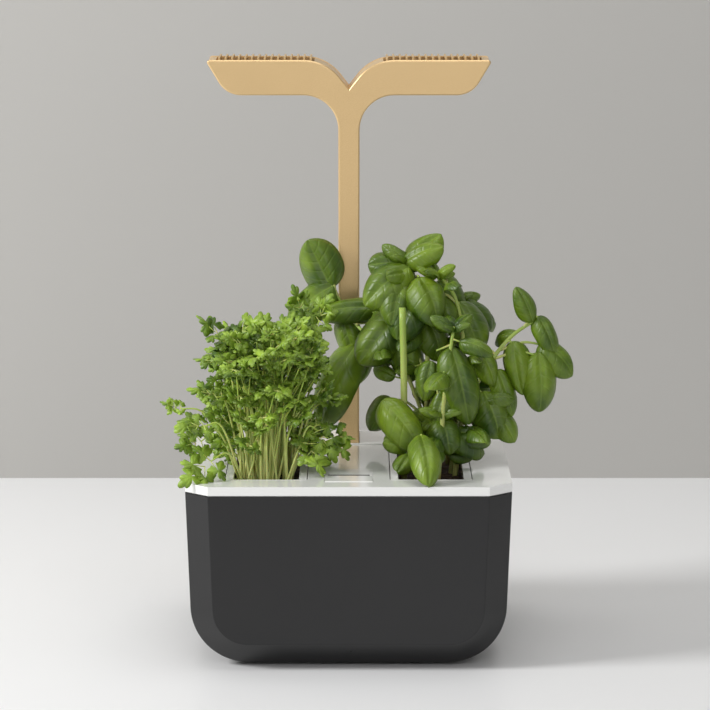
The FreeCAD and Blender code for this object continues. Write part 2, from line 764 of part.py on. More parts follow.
def make_lamp_screws():
    screws = []
    for x, z in lamp_screw_places():
        seat = Vector(x, lamp_back - LAMP_SCREW_SEAT, z)
        head = rod(seat, seat + Vector(0, LAMP_SCREW_HEAD, 0), LAMP_SCREW_HEAD_RADIUS)
        shaft = rod(Vector(x, seat.y - LAMP_SCREW_LENGTH, z), seat, LAMP_SCREW_RADIUS)
        screws.append(head.fuse(shaft))
    return Part.makeCompound(screws)


def fin_places():
    return [FIN_START + index * FIN_PITCH for index in range(fin_count)]


def make_lamp_channel():
    depth = Vector(0, channel_depth, 0)
    outer = prism(inset(lamp_outline(), CHANNEL_INSET), upright(channel_front), depth)
    inner = prism(inset(lamp_outline(), CHANNEL_INSET + CHANNEL_WALL), upright(channel_front), depth)
    foot = CHANNEL_WALL + 2
    inner_half = STEM_WIDTH_FOOT / 2 - CHANNEL_INSET - CHANNEL_WALL
    inner = inner.fuse(block(-inner_half, inner_half, channel_front, channel_back, stem_foot - 1, stem_foot + foot))
    channel = outer.cut(inner)
    places = fin_places()
    end_gap = FIN_THICKNESS / 2 + FIN_END_GAP
    fin_window = block(
        places[0] - end_gap,
        places[-1] + end_gap,
        channel_front + FIN_WINDOW_EDGE,
        channel_back - FIN_WINDOW_EDGE,
        sink_base_top,
        LAMP_TOP + 5,
    )
    light_window = block(
        WINDOW_INNER,
        WINDOW_INNER + window_length,
        lamp_middle - window_width / 2,
        lamp_middle + window_width / 2,
        lamp_under - 1,
        window_top + 1,
    )
    for window in (fin_window, light_window):
        channel = channel.cut(window).cut(mirrored(window))
    bosses = []
    boss_radius = LAMP_SCREW_RADIUS + LAMP_BOSS_WALL
    boss_front = channel_back - LAMP_SCREW_LENGTH
    for x, z in lamp_screw_places():
        bosses.append(rod(Vector(x, boss_front, z), Vector(x, channel_back, z), boss_radius))
        if x:
            bosses.append(block(x - 1, x + 1, boss_front, channel_back, lamp_under - ARMPIT_RADIUS, z))
        else:
            bosses.append(block(-STEM_WIDTH_TOP, STEM_WIDTH_TOP, boss_front, channel_back, z - 1, z + 1))
    hollow_limit = prism(inset(lamp_outline(), CHANNEL_INSET + CHANNEL_WALL / 2), upright(channel_front), depth)
    bosses = [boss.common(hollow_limit) for boss in bosses]
    channel = fused([channel] + bosses)
    for x, z in lamp_screw_places():
        start = Vector(x, lamp_back - LAMP_SCREW_SEAT - LAMP_SCREW_LENGTH, z)
        channel = channel.cut(rod(start, Vector(x, channel_back + 1, z), LAMP_SCREW_RADIUS))
    return channel


def make_heat_sink():
    places = fin_places()
    end_gap = FIN_THICKNESS / 2
    base = block(
        places[0] - end_gap, places[-1] + end_gap, channel_front, channel_back, sink_base_bottom, sink_base_top
    )
    hollow = inset(lamp_outline(), CHANNEL_INSET + CHANNEL_WALL + WINDOW_FIT)
    base = base.common(prism(hollow, upright(channel_front), Vector(0, channel_depth, 0)))
    fin_front = channel_front + FIN_EDGE_GAP
    fin_back = channel_back - FIN_EDGE_GAP
    limit = prism(inset(lamp_outline(), -FIN_RISE), upright(fin_front), Vector(0, fin_back - fin_front, 0))
    fins = []
    for x in places:
        bar = block(x - end_gap, x + end_gap, fin_front, fin_back, sink_base_top - TINY, LAMP_TOP + 5)
        fins.append(bar.common(limit))
    return fused([base] + fins)


def make_led_board():
    return block(
        LED_BOARD_INNER,
        LED_BOARD_INNER + led_board_length,
        lamp_middle - led_board_width / 2,
        lamp_middle + led_board_width / 2,
        led_board_bottom,
        sink_base_bottom,
    )


def make_led_chips():
    chips = []
    step_x = led_board_length / LED_COLUMNS
    step_y = led_board_width / (LED_ROWS + 1)
    for column in range(LED_COLUMNS):
        for row in range(LED_ROWS):
            x = LED_BOARD_INNER + (column + 0.5) * step_x - LED_LENGTH / 2
            y = lamp_middle + (row - (LED_ROWS - 1) / 2) * step_y - LED_WIDTH / 2
            chips.append(
                block(x, x + LED_LENGTH, y, y + LED_WIDTH, led_board_bottom - LED_HEIGHT, led_board_bottom)
            )
    return Part.makeCompound(chips)


def make_diffuser():
    x_low = WINDOW_INNER + WINDOW_FIT
    x_high = WINDOW_INNER + window_length - WINDOW_FIT
    y_half = window_width / 2 - WINDOW_FIT
    lens = block(
        x_low, x_high, lamp_middle - y_half, lamp_middle + y_half, lamp_under + CHANNEL_INSET, window_top + TINY
    )
    flange = block(
        x_low - DIFFUSER_FLANGE,
        x_high + DIFFUSER_FLANGE,
        lamp_middle - y_half - DIFFUSER_FLANGE,
        lamp_middle + y_half + DIFFUSER_FLANGE,
        window_top,
        window_top + DIFFUSER_FLANGE,
    )
    return lens.fuse(flange).removeSplitter()


def make_ribbon():
    # A flat cable runs up the stem and turns out along the wing to the light board.
    board_z = led_board_bottom + BOARD_THICKNESS / 2
    half = RIBBON_THICKNESS / 2
    x_low = RIBBON_OFFSET - half
    x_high = RIBBON_OFFSET + half
    turn_z = lamp_under - 6.7
    bend_x = LED_BOARD_INNER - 5
    start = stem_foot + PLUG_HEIGHT + PLUG_RISE
    rise = (board_z - turn_z) / (bend_x - RIBBON_OFFSET)
    corners = [
        (x_low, start, 0),
        (x_high, start, 0),
        (x_high, turn_z - half * rise, 4),
        (bend_x, board_z - half, 3),
        (LED_BOARD_INNER, board_z - half, 0),
        (LED_BOARD_INNER, board_z + half, 0),
        (bend_x - half * rise, board_z + half, 3),
        (x_low, turn_z + half * 0.6, 4),
    ]
    front = lamp_middle - RIBBON_WIDTH / 2
    return prism(corners, upright(front), Vector(0, RIBBON_WIDTH, 0))


def make_lamp_plug():
    x = STEM_WIDTH_FOOT / 2 - CHANNEL_INSET - CHANNEL_WALL - PLUG_FIT
    y = PLUG_LENGTH / 2
    low = stem_foot + PLUG_RISE
    plug = block(-x, x, lamp_middle - y, lamp_middle + y, low, low + PLUG_HEIGHT)
    side = PIN_SIDE / 2
    for pin_y in pin_places():
        plug = plug.cut(block(-side, side, pin_y - side, pin_y + side, low - 1, low + PIN_REACH))
    return plug


def make_lamp_contacts():
    low = stem_foot + PLUG_RISE
    side = PIN_SIDE / 2
    pins = [block(-side, side, y - side, y + side, low - PIN_REACH, low + PIN_REACH) for y in pin_places()]
    return Part.makeCompound(pins)


# Pods
def make_pod_cup():
    outer = well_outline(-POD_CLEARANCE)
    rim_z = plate_top - FRAME_THICKNESS
    cup = slab(outer, well_floor, rim_z).cut(slab(inset(outer, CUP_WALL), well_floor + CUP_WALL, rim_z + 1))
    middle_x = (pod_inner + pod_outer) / 2
    middle_y = (pod_front + pod_back) / 2
    x = WICK_WIDTH / 2
    y = WICK_THICKNESS / 2
    return cup.cut(block(middle_x - x, middle_x + x, middle_y - y, middle_y + y, well_floor - 1, well_floor + 5))


def frame_opening():
    low_x = pod_inner + FRAME_BORDER
    high_x = pod_outer - FRAME_BORDER
    return rectangle(low_x, high_x, pod_front + FRAME_FRONT_BORDER, pod_back - FRAME_BORDER, 1.5)


def make_pod_frame():
    rim_z = plate_top - FRAME_THICKNESS
    frame = slab(well_outline(-POD_CLEARANCE), rim_z, plate_top)
    locating = inset(well_outline(-POD_CLEARANCE), CUP_WALL + 0.1)
    frame = frame.fuse(slab(locating, rim_z - FRAME_LIP, rim_z))
    return frame.cut(slab(frame_opening(), rim_z - FRAME_LIP - 1, plate_top + 1)).removeSplitter()


def make_substrate():
    outline = inset(well_outline(-POD_CLEARANCE), CUP_WALL + 0.1)
    return slab(outline, well_floor + CUP_WALL, soil_top)


def make_wick():
    middle_x = (pod_inner + pod_outer) / 2
    middle_y = (pod_front + pod_back) / 2
    x = WICK_WIDTH / 2
    y = WICK_THICKNESS / 2
    low = body_bottom + TANK_WALL + WICK_FLOOR_GAP
    return block(middle_x - x, middle_x + x, middle_y - y, middle_y + y, low, well_floor + CUP_WALL)


# Herb leaves. A blade runs from its base to its tip, and roll turns its face to one side.
def blade_frame(base, tip, roll):
    along = (tip - base).normalize()
    side = Vector(0, 0, 1).cross(along)
    if side.Length < 0.2:
        side = Vector(0, 1, 0).cross(along)
    side.normalize()
    face = along.cross(side)
    turn = FreeCAD.Rotation(along, roll)
    side = turn.multVec(side)
    face = turn.multVec(face)
    matrix = FreeCAD.Matrix(
        along.x, side.x, face.x, base.x, along.y, side.y, face.y, base.y, along.z, side.z, face.z, base.z
    )
    return FreeCAD.Placement(matrix)


def flat_solid(faces):
    # A closed solid from flat faces, each given by its corners in order.
    sides = [Part.Face(Part.makePolygon(corners + [corners[0]])) for corners in faces]
    return Part.Solid(Part.makeShell(sides))


def basil_blade(base, tip, width, roll):
    # The blade is folded along its midrib and droops towards the tip.
    length = (tip - base).Length
    top = []
    for step in range(BLADE_STEPS + 1):
        share = step / BLADE_STEPS
        along = share * length
        half = width / 2 * math.sin(math.pi * (0.08 + 0.9 * share ** 0.85))
        droop = -BASIL_DROOP * length * share * share + BASIL_DROOP * length * share
        lift = BASIL_FOLD * half
        top.append([Vector(along, half, droop + lift), Vector(along, 0, droop), Vector(along, -half, droop + lift)])
    down = Vector(0, 0, -LEAF_THICKNESS)
    under = [[point + down for point in row] for row in top]
    faces = []
    for near, far in zip(top, top[1:]):
        for k in (0, 1):
            faces.append([near[k], near[k + 1], far[k + 1]])
            faces.append([near[k], far[k + 1], far[k]])
    for near, far in zip(under, under[1:]):
        for k in (0, 1):
            faces.append([near[k], far[k + 1], near[k + 1]])
            faces.append([near[k], far[k], far[k + 1]])
    for k in (0, 2):
        for step in range(BLADE_STEPS):
            faces.append([top[step][k], top[step + 1][k], under[step + 1][k], under[step][k]])
    for row, low in ((top[0], under[0]), (top[-1], under[-1])):
        faces.append(row + low[::-1])
    blade = flat_solid(faces)
    blade.Placement = blade_frame(base, tip, roll)
    return blade


def parsley_blade(base, tip, size, roll):
    # A parsley leaf has three lobes with a notched edge.
    centre = 0.42 * size
    outline = [Vector(0, -0.6, 0)]
    for step in range(-PARSLEY_NOTCHES, PARSLEY_NOTCHES + 1):
        angle = math.radians(152) * step / PARSLEY_NOTCHES
        notch = 1.0 + (0.12 if step % 2 == 0 else -0.12)
        reach = size * (0.2 + 0.34 * abs(math.cos(1.5 * angle))) * notch
        outline.append(Vector(centre + reach * math.cos(angle), reach * math.sin(angle), 0))
    outline.append(Vector(0, 0.6, 0))
    leaf = Part.Face(Part.makePolygon(outline + [outline[0]])).extrude(Vector(0, 0, LEAF_THICKNESS))
    leaf.Placement = blade_frame(base, tip, roll)
    return leaf


def tapered_bar(start, end, radius, end_radius):
    # A stem is a tapered bar with flat sides.
    heading = (end - start).normalize()
    across = heading.cross(Vector(0.3, 1, 0.2)).normalize()
    up = heading.cross(across)
    rings = []
    for centre, size in ((start, radius), (end, end_radius)):
        ring_points = []
        for k in range(STEM_SIDES):
            angle = 2 * math.pi * k / STEM_SIDES
            ring_points.append(centre + across * (size * math.cos(angle)) + up * (size * math.sin(angle)))
        rings.append(ring_points)
    faces = [rings[0], rings[1]]
    for k in range(STEM_SIDES):
        following = (k + 1) % STEM_SIDES
        faces.append([rings[0][k], rings[0][following], rings[1][following], rings[1][k]])
    return flat_solid(faces)


def stem_run(points, radius, end_radius):
    # Straight runs that taper and overlap a little where the stem turns.
    runs = []
    count = len(points) - 1
    for index in range(count):
        start_radius = radius + (end_radius - radius) * index / count
        stop_radius = radius + (end_radius - radius) * (index + 1) / count
        heading = (points[index + 1] - points[index]).normalize()
        start = points[index] - heading * (start_radius * 0.6 if index else 0)
        stop = points[index + 1] + heading * stop_radius * 0.3
        runs.append(tapered_bar(start, stop, start_radius, stop_radius))
    return runs


def along_stem(points, height):
    for start, end in zip(points, points[1:]):
        if start.z <= height <= end.z:
            share = (height - start.z) / (end.z - start.z)
            return start + (end - start) * share
    return points[-1]


BASIL_STEMS = {
    "cut": [(31, -26, 0), (31, -24, 55), (30, -22, 96)],
    "tall": [(40, -8, 0), (45, -6, 55), (38, 0, 105), (34, 3, 124)],
    "right": [(48, -38, 0), (54, -34, 50), (58, -28, 88)],
    "sprig": [(58, -18, 0), (63, -16, 44), (79, -13, 66), (104, -10, 86)],
    "left": [(36, 16, 0), (25, 27, 45), (8, 31, 78), (-9, 32, 98)],
    "back": [(57, 18, 0), (60, 20, 60), (62, 20, 96)],
}

# Stem, height of the joint above the soil, tip of the leaf, width and roll
BASIL_LEAVES = [
    ("tall", 122, (54, 4, 224), 17, 35),
    ("tall", 118, (12, 12, 216), 17, -35),
    ("tall", 108, (62, -22, 186), 26, 0),
    ("tall", 106, (12, 6, 188), 24, -20),
    ("tall", 86, (29, -28, 172), 24, 0),
    ("left", 97, (-20, 33, 224), 22, -60),
    ("left", 96, (-34, 33, 178), 22, -55),
    ("left", 84, (22, 34, 186), 18, -60),
    ("left", 70, (0, 33, 158), 18, -60),
    ("left", 52, (-12, 33, 128), 26, -60),
    ("right", 86, (70, -46, 132), 30, 0),
    ("right", 84, (84, -36, 176), 22, 30),
    ("right", 60, (20, -52, 118), 22, -20),
    ("right", 40, (40, -84, 106), 24, 0),
    ("back", 94, (86, 22, 186), 24, 35),
    ("back", 90, (46, 32, 170), 24, -35),
    ("back", 50, (88, 20, 126), 24, 35),
    ("sprig", 85, (106, -12, 203), 15, 55),
    ("sprig", 84, (PLANT_REACH, -12, 166), 18, 40),
    ("sprig", 78, (96, -22, 134), 26, 35),
    ("sprig", 40, (84, -24, 112), 24, 30),
    ("cut", 60, (16, -32, 150), 20, -40),
]


def make_basil():
    stems = {}
    pieces = []
    for name, points in BASIL_STEMS.items():
        placed = [Vector(x, y, soil_top + z - (1 if z == 0 else 0)) for x, y, z in points]
        stems[name] = placed
        thick = 2.6 if name == "cut" else 1.7
        pieces += stem_run(placed, thick, thick - 0.6)
    for name, height, tip, width, roll in BASIL_LEAVES:
        root = along_stem(stems[name], soil_top + height)
        tip = Vector(*tip)
        base = root + (tip - root) * 0.2
        width = min(width, 0.62 * (tip - base).Length)
        pieces.append(tapered_bar(root, root + (tip - root) * 0.27, 1.0, 0.7))
        pieces.append(basil_blade(base, tip, width, roll))
    plant = fused(pieces)
    return plant.cut(block(-200, 200, -200, 200, 0, soil_top))


def make_parsley():
    middle_x = -(pod_inner + pod_outer) / 2
    middle_y = (pod_front + pod_back) / 2 - 4
    pieces = []
    golden = math.pi * (3 - math.sqrt(5))
    for index in range(PARSLEY_STEMS):
        spread = math.sqrt((index + 0.5) / PARSLEY_STEMS)
        angle = index * golden
        across = math.cos(angle)
        back = math.sin(angle)
        foot = Vector(middle_x + 14 * spread * across, middle_y + 38 * spread * back, soil_top - 1)
        top_z = PARSLEY_CROWN - 46 * spread * spread - 6 * (index % 3)
        head = Vector(middle_x - 4 + 30 * spread * across, middle_y + 30 * spread * back, top_z)
        knee = foot + (head - foot) * 0.5 + Vector(-5 * across, -5 * back, 0)
        pieces += stem_run([foot, knee, head], PARSLEY_STEM_RADIUS, PARSLEY_STEM_RADIUS * 0.8)
        out = Vector(across, back, 0.35 - 0.5 * spread).normalize()
        head.x = min(head.x, PARSLEY_RIGHT_LIMIT - 6)
        for turn in (-70, 0, 70):
            swing = FreeCAD.Rotation(Vector(0, 0, 1), turn).multVec(out)
            size = PARSLEY_LEAF * (0.75 if turn else 0.9)
            tip = head + swing * size
            tip.x = max(tip.x, -PLANT_REACH + 6)
            tip.x = min(tip.x, PARSLEY_RIGHT_LIMIT)
            tip.y = min(tip.y, PARSLEY_BACK_LIMIT)
            pieces.append(parsley_blade(head - swing * 0.8, tip, size, -30 if turn < 0 else 30))
    extras = [
        ((-57, -54, 0), (-64, -62, 17), (-86, -78, 111), 26, 0),
        ((-36, -50, 0), (-30, -46, 16), (-14, -40, 113), 20, 0),
        ((-55, -20, 0), (-80, -20, 36), (-PLANT_REACH, -20, 138), 14, 0),
    ]
    for foot, knee, tip, size, roll in extras:
        start = Vector(foot[0], foot[1], soil_top - 1)
        bend = Vector(knee[0], knee[1], soil_top + knee[2])
        end = Vector(*tip)
        base = end - (end - bend).normalize() * size * 0.92
        pieces += stem_run([start, bend, base], PARSLEY_STEM_RADIUS, PARSLEY_STEM_RADIUS * 0.8)
        pieces.append(parsley_blade(base - (end - base).normalize(), end, size, roll))
    plant = fused(pieces)
    return plant.cut(block(-200, 200, -200, 200, 0, soil_top))


def build():
    right_pod = {
        "pod_cup": make_pod_cup(),
        "pod_frame": make_pod_frame(),
        "growing_block": make_substrate(),
        "wick": make_wick(),
    }
    right_lamp = {
        "heat_sink": make_heat_sink(),
        "led_board": make_led_board(),
        "led_chips": make_led_chips(),
        "diffuser": make_diffuser(),
        "lamp_ribbon": make_ribbon(),
    }
    parts = {
        "tank_shell": make_tank_shell(),
        "growing_tray": make_growing_tray(),
        "fill_flap": make_fill_flap(),
        "fill_flap_pin": make_flap_pin(),
        "lamp_socket": make_lamp_socket(),
        "socket_lid": make_socket_lid(),
        "lid_screws": make_lid_screws(),
        "control_board": make_control_board(),
        "socket_connector": make_socket_connector(),
        "power_inlet": make_power_inlet(),
        "power_button": make_power_button(),
        "button_switch": make_button_switch(),
        "lamp_front_cover": make_front_cover(),
        "lamp_rear_cover": make_rear_cover(),
        "lamp_channel": make_lamp_channel(),
        "lamp_screws": make_lamp_screws(),
        "lamp_plug": make_lamp_plug(),
        "lamp_contacts": make_lamp_contacts(),
        "basil_plant": make_basil(),
        "parsley_plant": make_parsley(),
    }
    for name, place in foot_places().items():
        parts["foot_" + name] = make_foot(place)
    for name, shape in list(right_pod.items()) + list(right_lamp.items()):
        parts[name + "_right"] = shape
        parts[name + "_left"] = mirrored(shape)
    return parts


def main():
    os.makedirs("parts", exist_ok=True)
    for name, shape in build().items():
        solids = shape.Solids
        if not solids:
            raise ValueError(name + " has no solid")
        whole = solids[0] if len(solids) == 1 else Part.makeCompound(solids)
        whole.exportStep("parts/" + name + ".step")
        print(name, len(solids), round(whole.Volume, 1), whole.isValid())


main()
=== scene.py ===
import json
import math
import random

import bmesh
import bpy
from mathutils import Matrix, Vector, noise

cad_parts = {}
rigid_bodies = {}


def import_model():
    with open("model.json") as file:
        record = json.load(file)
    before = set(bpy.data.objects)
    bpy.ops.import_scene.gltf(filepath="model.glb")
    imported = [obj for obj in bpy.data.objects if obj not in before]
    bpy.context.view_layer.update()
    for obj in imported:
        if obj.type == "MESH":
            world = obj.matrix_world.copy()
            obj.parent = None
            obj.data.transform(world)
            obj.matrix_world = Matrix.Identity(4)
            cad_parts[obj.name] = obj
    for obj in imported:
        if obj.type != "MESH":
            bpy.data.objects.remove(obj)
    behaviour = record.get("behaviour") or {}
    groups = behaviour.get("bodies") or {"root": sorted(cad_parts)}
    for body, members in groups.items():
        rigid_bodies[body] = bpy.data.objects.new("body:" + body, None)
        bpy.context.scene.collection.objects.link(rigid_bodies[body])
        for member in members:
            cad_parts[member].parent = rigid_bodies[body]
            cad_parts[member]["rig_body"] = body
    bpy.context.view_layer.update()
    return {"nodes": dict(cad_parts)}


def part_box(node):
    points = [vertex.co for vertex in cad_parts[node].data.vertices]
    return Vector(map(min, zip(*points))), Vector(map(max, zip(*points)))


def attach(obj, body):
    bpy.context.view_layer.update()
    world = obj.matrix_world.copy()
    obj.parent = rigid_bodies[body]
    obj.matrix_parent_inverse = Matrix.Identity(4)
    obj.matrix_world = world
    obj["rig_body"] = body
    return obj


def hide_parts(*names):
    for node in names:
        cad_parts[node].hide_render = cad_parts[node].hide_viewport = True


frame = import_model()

MM = 0.001
NODES = frame["nodes"]

# Camera, worked out from the photograph: focal length in pixels of the 710 pixel frame, sensor and place
# in millimetres, tilt in degrees and reach in metres
FRAME_PIXELS = 710
FOCAL_PIXELS = 3445.5
SENSOR_WIDTH = 36.0
CAMERA_PLACE = (3.5, -1938.8, 459.0)
CAMERA_DOWN = 8.7
CAMERA_REACH = 20

# Stage, in metres: a table, and a wall that stands at its far edge
TABLE_NEAR = -2.6
TABLE_BACK = 0.48
STAGE_HALF_WIDTH = 3.0
WALL_FOOT = -0.5
WALL_TOP = 2.5
TABLE_COLOUR = (0.8, 0.8, 0.8)
WALL_COLOUR = (0.44, 0.43, 0.41)

# Lights: name, place, aim and side in metres, and power in watts
LIGHTS = (
    ("key", (-1.5, -0.5, 1.1), (0, 0, 0.15), 0.55, 28),
    ("fill", (0.3, -1.8, 1.0), (0, 0, 0.2), 1.2, 8),
    ("top", (0.1, 0.0, 1.7), (0, 0, 0.1), 1.0, 7),
)
WORLD_STRENGTH = 0.33

# Heights read from the CAD frame, in millimetres
PLATE_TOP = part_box("growing_tray")[1].z / MM
SOIL_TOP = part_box("growing_block_right")[1].z / MM

# Softened copies: points within the weld distance join, and so do faces within the merge angle. Edges
# over the bevel angle get a bevel, and edges over the crisp angle are shaded sharp.
WELD_DISTANCE = 0.000002
MERGE_ANGLE = math.radians(1.0)
BEVEL_ANGLE = math.radians(28)
BEVEL_PROFILE = 0.6
CRISP_ANGLE = math.radians(38)

# Basil blade: its grid, the form of its outline, and its relief in shares of its length or width
BLADE_ROWS = 19
BLADE_COLUMNS = 13
OUTLINE_SKEW = 0.82
OUTLINE_FULLNESS = 2.3
OUTLINE_BLUNTNESS = 0.62
OUTLINE_LEAST = 0.02
EDGE_GATHER = 0.1
ARCH_SCALE = 1.6
MOST_CURL = 0.16
DOME_HEIGHT = 0.09
DOME_SKEW = 0.75
DROOP_DEPTH = 0.26
DROOP_POWER = 2.2
VEIN_PAIRS = 5.5
VEIN_SLANT = 1.3
VEIN_HEIGHT = 0.014
VEIN_ONSET = 3.5
VEIN_FADE = 0.4
WAVE_HEIGHT = 0.05
WAVES_ALONG = 7
WAVES_ACROSS = 2
WAVE_PHASES = (0, 6.28)

# Directions shorter than these are too near the leaf's own line, and a fixed one takes their place
LEAST_FACE = 0.05
LEAST_SIDE = 0.1

# Basil: stems, stalks of the placed blades, blades and buds, in millimetres. A stalk leaves its stem a
# drop below the blade's foot, bows up at its middle and laps the blade. Tapers and twists are shares and
# radians.
BASIL_SEED = 7
STEM_RADIUS = 1.6
STEM_RADII = {"cut": 2.0, "front": 1.0, "branch": 1.1, "left": 1.4, "low": 1.3}
STEM_TAPER = 0.55
CUT_STEM_TAPER = 0.96
STALK_RADIUS = 0.9
STALK_END_RADIUS = 0.6
STALK_DROP = 4
STALK_MIDDLE = 0.55
STALK_BOW = 2
STALK_LAP = 2
BLADE_THICKNESS = 0.35
BLADE_TWIST = 0.3
BUD_STEMS = ("tall", "right", "curve", "back", "low", "branch")
BUD_LEAVES = 5
BUD_SINK = 2
BUD_LENGTHS = (9, 17)
BUD_WIDTH = 0.6
BUD_ARCH = 0.3
BUD_TWIST = 0.2

# Basil fill: small blades round the stems. Heights are shares of the stem's height, and widths and arches
# of the blade's length. Starts and lengths run out from the stem, and limits are places above the soil,
# all in millimetres.
BASIL_FILL = 56
FILL_HEIGHTS = (0.25, 0.95)
FILL_STARTS = (3, 9)
FILL_LENGTHS = (14, 25)
FILL_SLOPES = (-0.6, 0.2)
FILL_WIDTHS = (0.6, 0.78)
FILL_ARCHES = (0.1, 0.35)
FILL_TWIST = 0.4
FILL_STALK_RADIUS = 0.7
FILL_STALK_END_RADIUS = 0.5
FILL_LEFT_LIMITS = (14, 20)
FILL_BACK_LIMIT = 38
FILL_LOW_LIMIT = 12
FILL_LEAST_BLADE = 8
FILL_LEAST_STALK = 1.5
CUT_STEM_MIDDLE = 31
CUT_STEM_CLEARANCE = 9
CUT_STEM_FRONT = -24
CUT_STEM_BARE = (35, 110)

# Parsley leaflet: points round its edge, half its turn in degrees, and its form in shares of its length
LEAFLET_POINTS = 49
LEAFLET_TURN = 156
LEAFLET_MIDDLE = 0.36
LEAFLET_LIFT = 0.08
LEAFLET_CORE = 0.12
LEAFLET_REACH = 0.52
LOBE_POWER = 0.8
TOOTH_FOOT = 0.62
TOOTH_HEIGHT = 0.38
TOOTH_POWER = 0.6
LEAFLET_CURLS = (-0.8, 0.4)
LEAFLET_RIPPLE = 0.1

# Parsley leaf: the turn of each leaflet, its joint's place along the leaf, and its length, in shares of
# the leaf's size. Rib and stalk are shares of it too.
LEAFLETS = (
    (0.0, 0.55, 0.6), (0.85, 0.35, 0.5), (-0.85, 0.35, 0.5), (1.5, 0.0, 0.45), (-1.5, 0.0, 0.45),
)
LEAF_RIB = 0.6
LEAFLET_STALK = 0.12

# Parsley crown above the left pod, in millimetres: middle and reach of its feet and heads, top, limits
# at the right, back and front, steps down from the top, and sizes. The slope is the top's rise to the
# right, and the shoulder its fall at the crown's edge.
PARSLEY_SEED = 11
PARSLEY_LEAVES = 140
PARSLEY_MIDDLE = (-46, -20)
PARSLEY_FOOT = (15, 40)
PARSLEY_SPREAD = (31, 37)
PARSLEY_TOP = 173
PARSLEY_SLOPE = 0.18
PARSLEY_SHOULDER = 20
PARSLEY_RIGHT = -9
PARSLEY_BACK = 21
PARSLEY_FRONT = -66
PARSLEY_STEPS = (-4, 0, 6, 12, 20, 30)
PARSLEY_SIZES = (13, 18)
PARSLEY_STEM_RADII = (0.6, 0.95)
PARSLEY_KNEE = 5
HEAD_MARGIN = 6
TIP_MARGIN = 2
FOOT_SINK = 2
LEAFLET_THICKNESS = 0.25

# Growing blocks: grid of the crumbly top, its depth below the block's own top in metres, and the crumbs'
# scale and height in millimetres
SOIL_COLUMNS = 46
SOIL_ROWS = 110
SOIL_SINK = 0.0006
SOIL_EDGE_SINK = 0.0005
COARSE_SCALE = 300
COARSE_HEIGHT = 0.9
FINE_SCALE = 900
FINE_HEIGHT = 0.5

# The finger scoop behind the fill flap, and a dark strip of painted shade on its foot, in millimetres
FINGER_GAP = 4.0
SCOOP_LENGTH = 15.0
SCOOP_DEPTH = 5.0
SHADE_STRIP_LENGTH = 8.6
SHADE_STRIP_SIDE_GAP = 1.5
SHADE_STRIP_LIFT = 0.1


def metres(*values):
    """A place or size given in millimetres."""
    return Vector([value * MM for value in values])


def above_soil(x, y, z):
    """A place given in millimetres, its height from the top of the soil."""
    return metres(x, y, z + SOIL_TOP)


# Mesh helpers
class Builder:
    """Collects vertices, faces and UVs of one piece."""

    def __init__(self):
        self.points = []
        self.faces = []
        self.uvs = []

    def add(self, points, faces, uvs):
        start = len(self.points)
        self.points.extend(points)
        self.faces.extend([tuple(start + i for i in face) for face in faces])
        self.uvs.extend(uvs)

    def piece(self, name, material, body, slot):
        mesh = bpy.data.meshes.new(name)
        mesh.from_pydata(self.points, [], self.faces)
        layer = mesh.uv_layers.new(name="UVMap")
        for loop in mesh.loops:
            layer.data[loop.index].uv = self.uvs[loop.vertex_index]
        mesh.materials.append(material)
        mesh.shade_smooth()
        mesh.update()
        piece = bpy.data.objects.new(name, mesh)
        bpy.context.scene.collection.objects.link(piece)
        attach(piece, body)
        return piece


def grid_faces(rows, columns, closed=False):
    faces = []
    last = columns if closed else columns - 1
    for row in range(rows - 1):
        for column in range(last):
            a = row * columns + column
            b = row * columns + (column + 1) % columns
            faces.append((a, b, b + columns, a + columns))
    return faces


def smooth_path(points, steps):
    """Catmull-Rom points through the given ones."""
    padded = [points[0] * 2 - points[1]] + list(points) + [points[-1] * 2 - points[-2]]
    path = []
    for index in range(1, len(padded) - 2):
        p0, p1, p2, p3 = padded[index - 1:index + 3]
        for step in range(steps):
            t = step / steps
            path.append(
                0.5 * ((2 * p1) + (p2 - p0) * t + (2 * p0 - 5 * p1 + 4 * p2 - p3) * t * t
                       + (3 * p1 - p0 - 3 * p2 + p3) * t ** 3)
            )
    path.append(points[-1].copy())
    return path


def add_stem(builder, points, radius, end_radius, sides, steps=5, groove=0.0):
    """A tapered stem through the points, closed by flat ends."""
    path = smooth_path(points, steps)
    across = (path[1] - path[0]).cross(Vector((0.3, 1, 0.2))).normalized()
    rings = []
    uvs = []
    count = len(path)
    for index, centre in enumerate(path):
        ahead = path[min(index + 1, count - 1)] - path[max(index - 1, 0)]
        ahead.normalize()
        across = (across - ahead * across.dot(ahead)).normalized()
        up = ahead.cross(across)
        share = index / (count - 1)
        size = radius + (end_radius - radius) * share
        for k in range(sides):
            angle = 2 * math.pi * k / sides
            ripple = size * (1 - groove * (k % 2))
            rings.append(centre + across * (ripple * math.cos(angle)) + up * (ripple * math.sin(angle)))
            uvs.append((share, k / sides))
    faces = grid_faces(count, sides, closed=True)
    faces.append(tuple(range(sides))[::-1])
    faces.append(tuple(range((count - 1) * sides, count * sides)))
    builder.add(rings, faces, uvs)


def is_sharp(edge):
    return len(edge.link_faces) == 2 and edge.calc_face_angle(0) > BEVEL_ANGLE


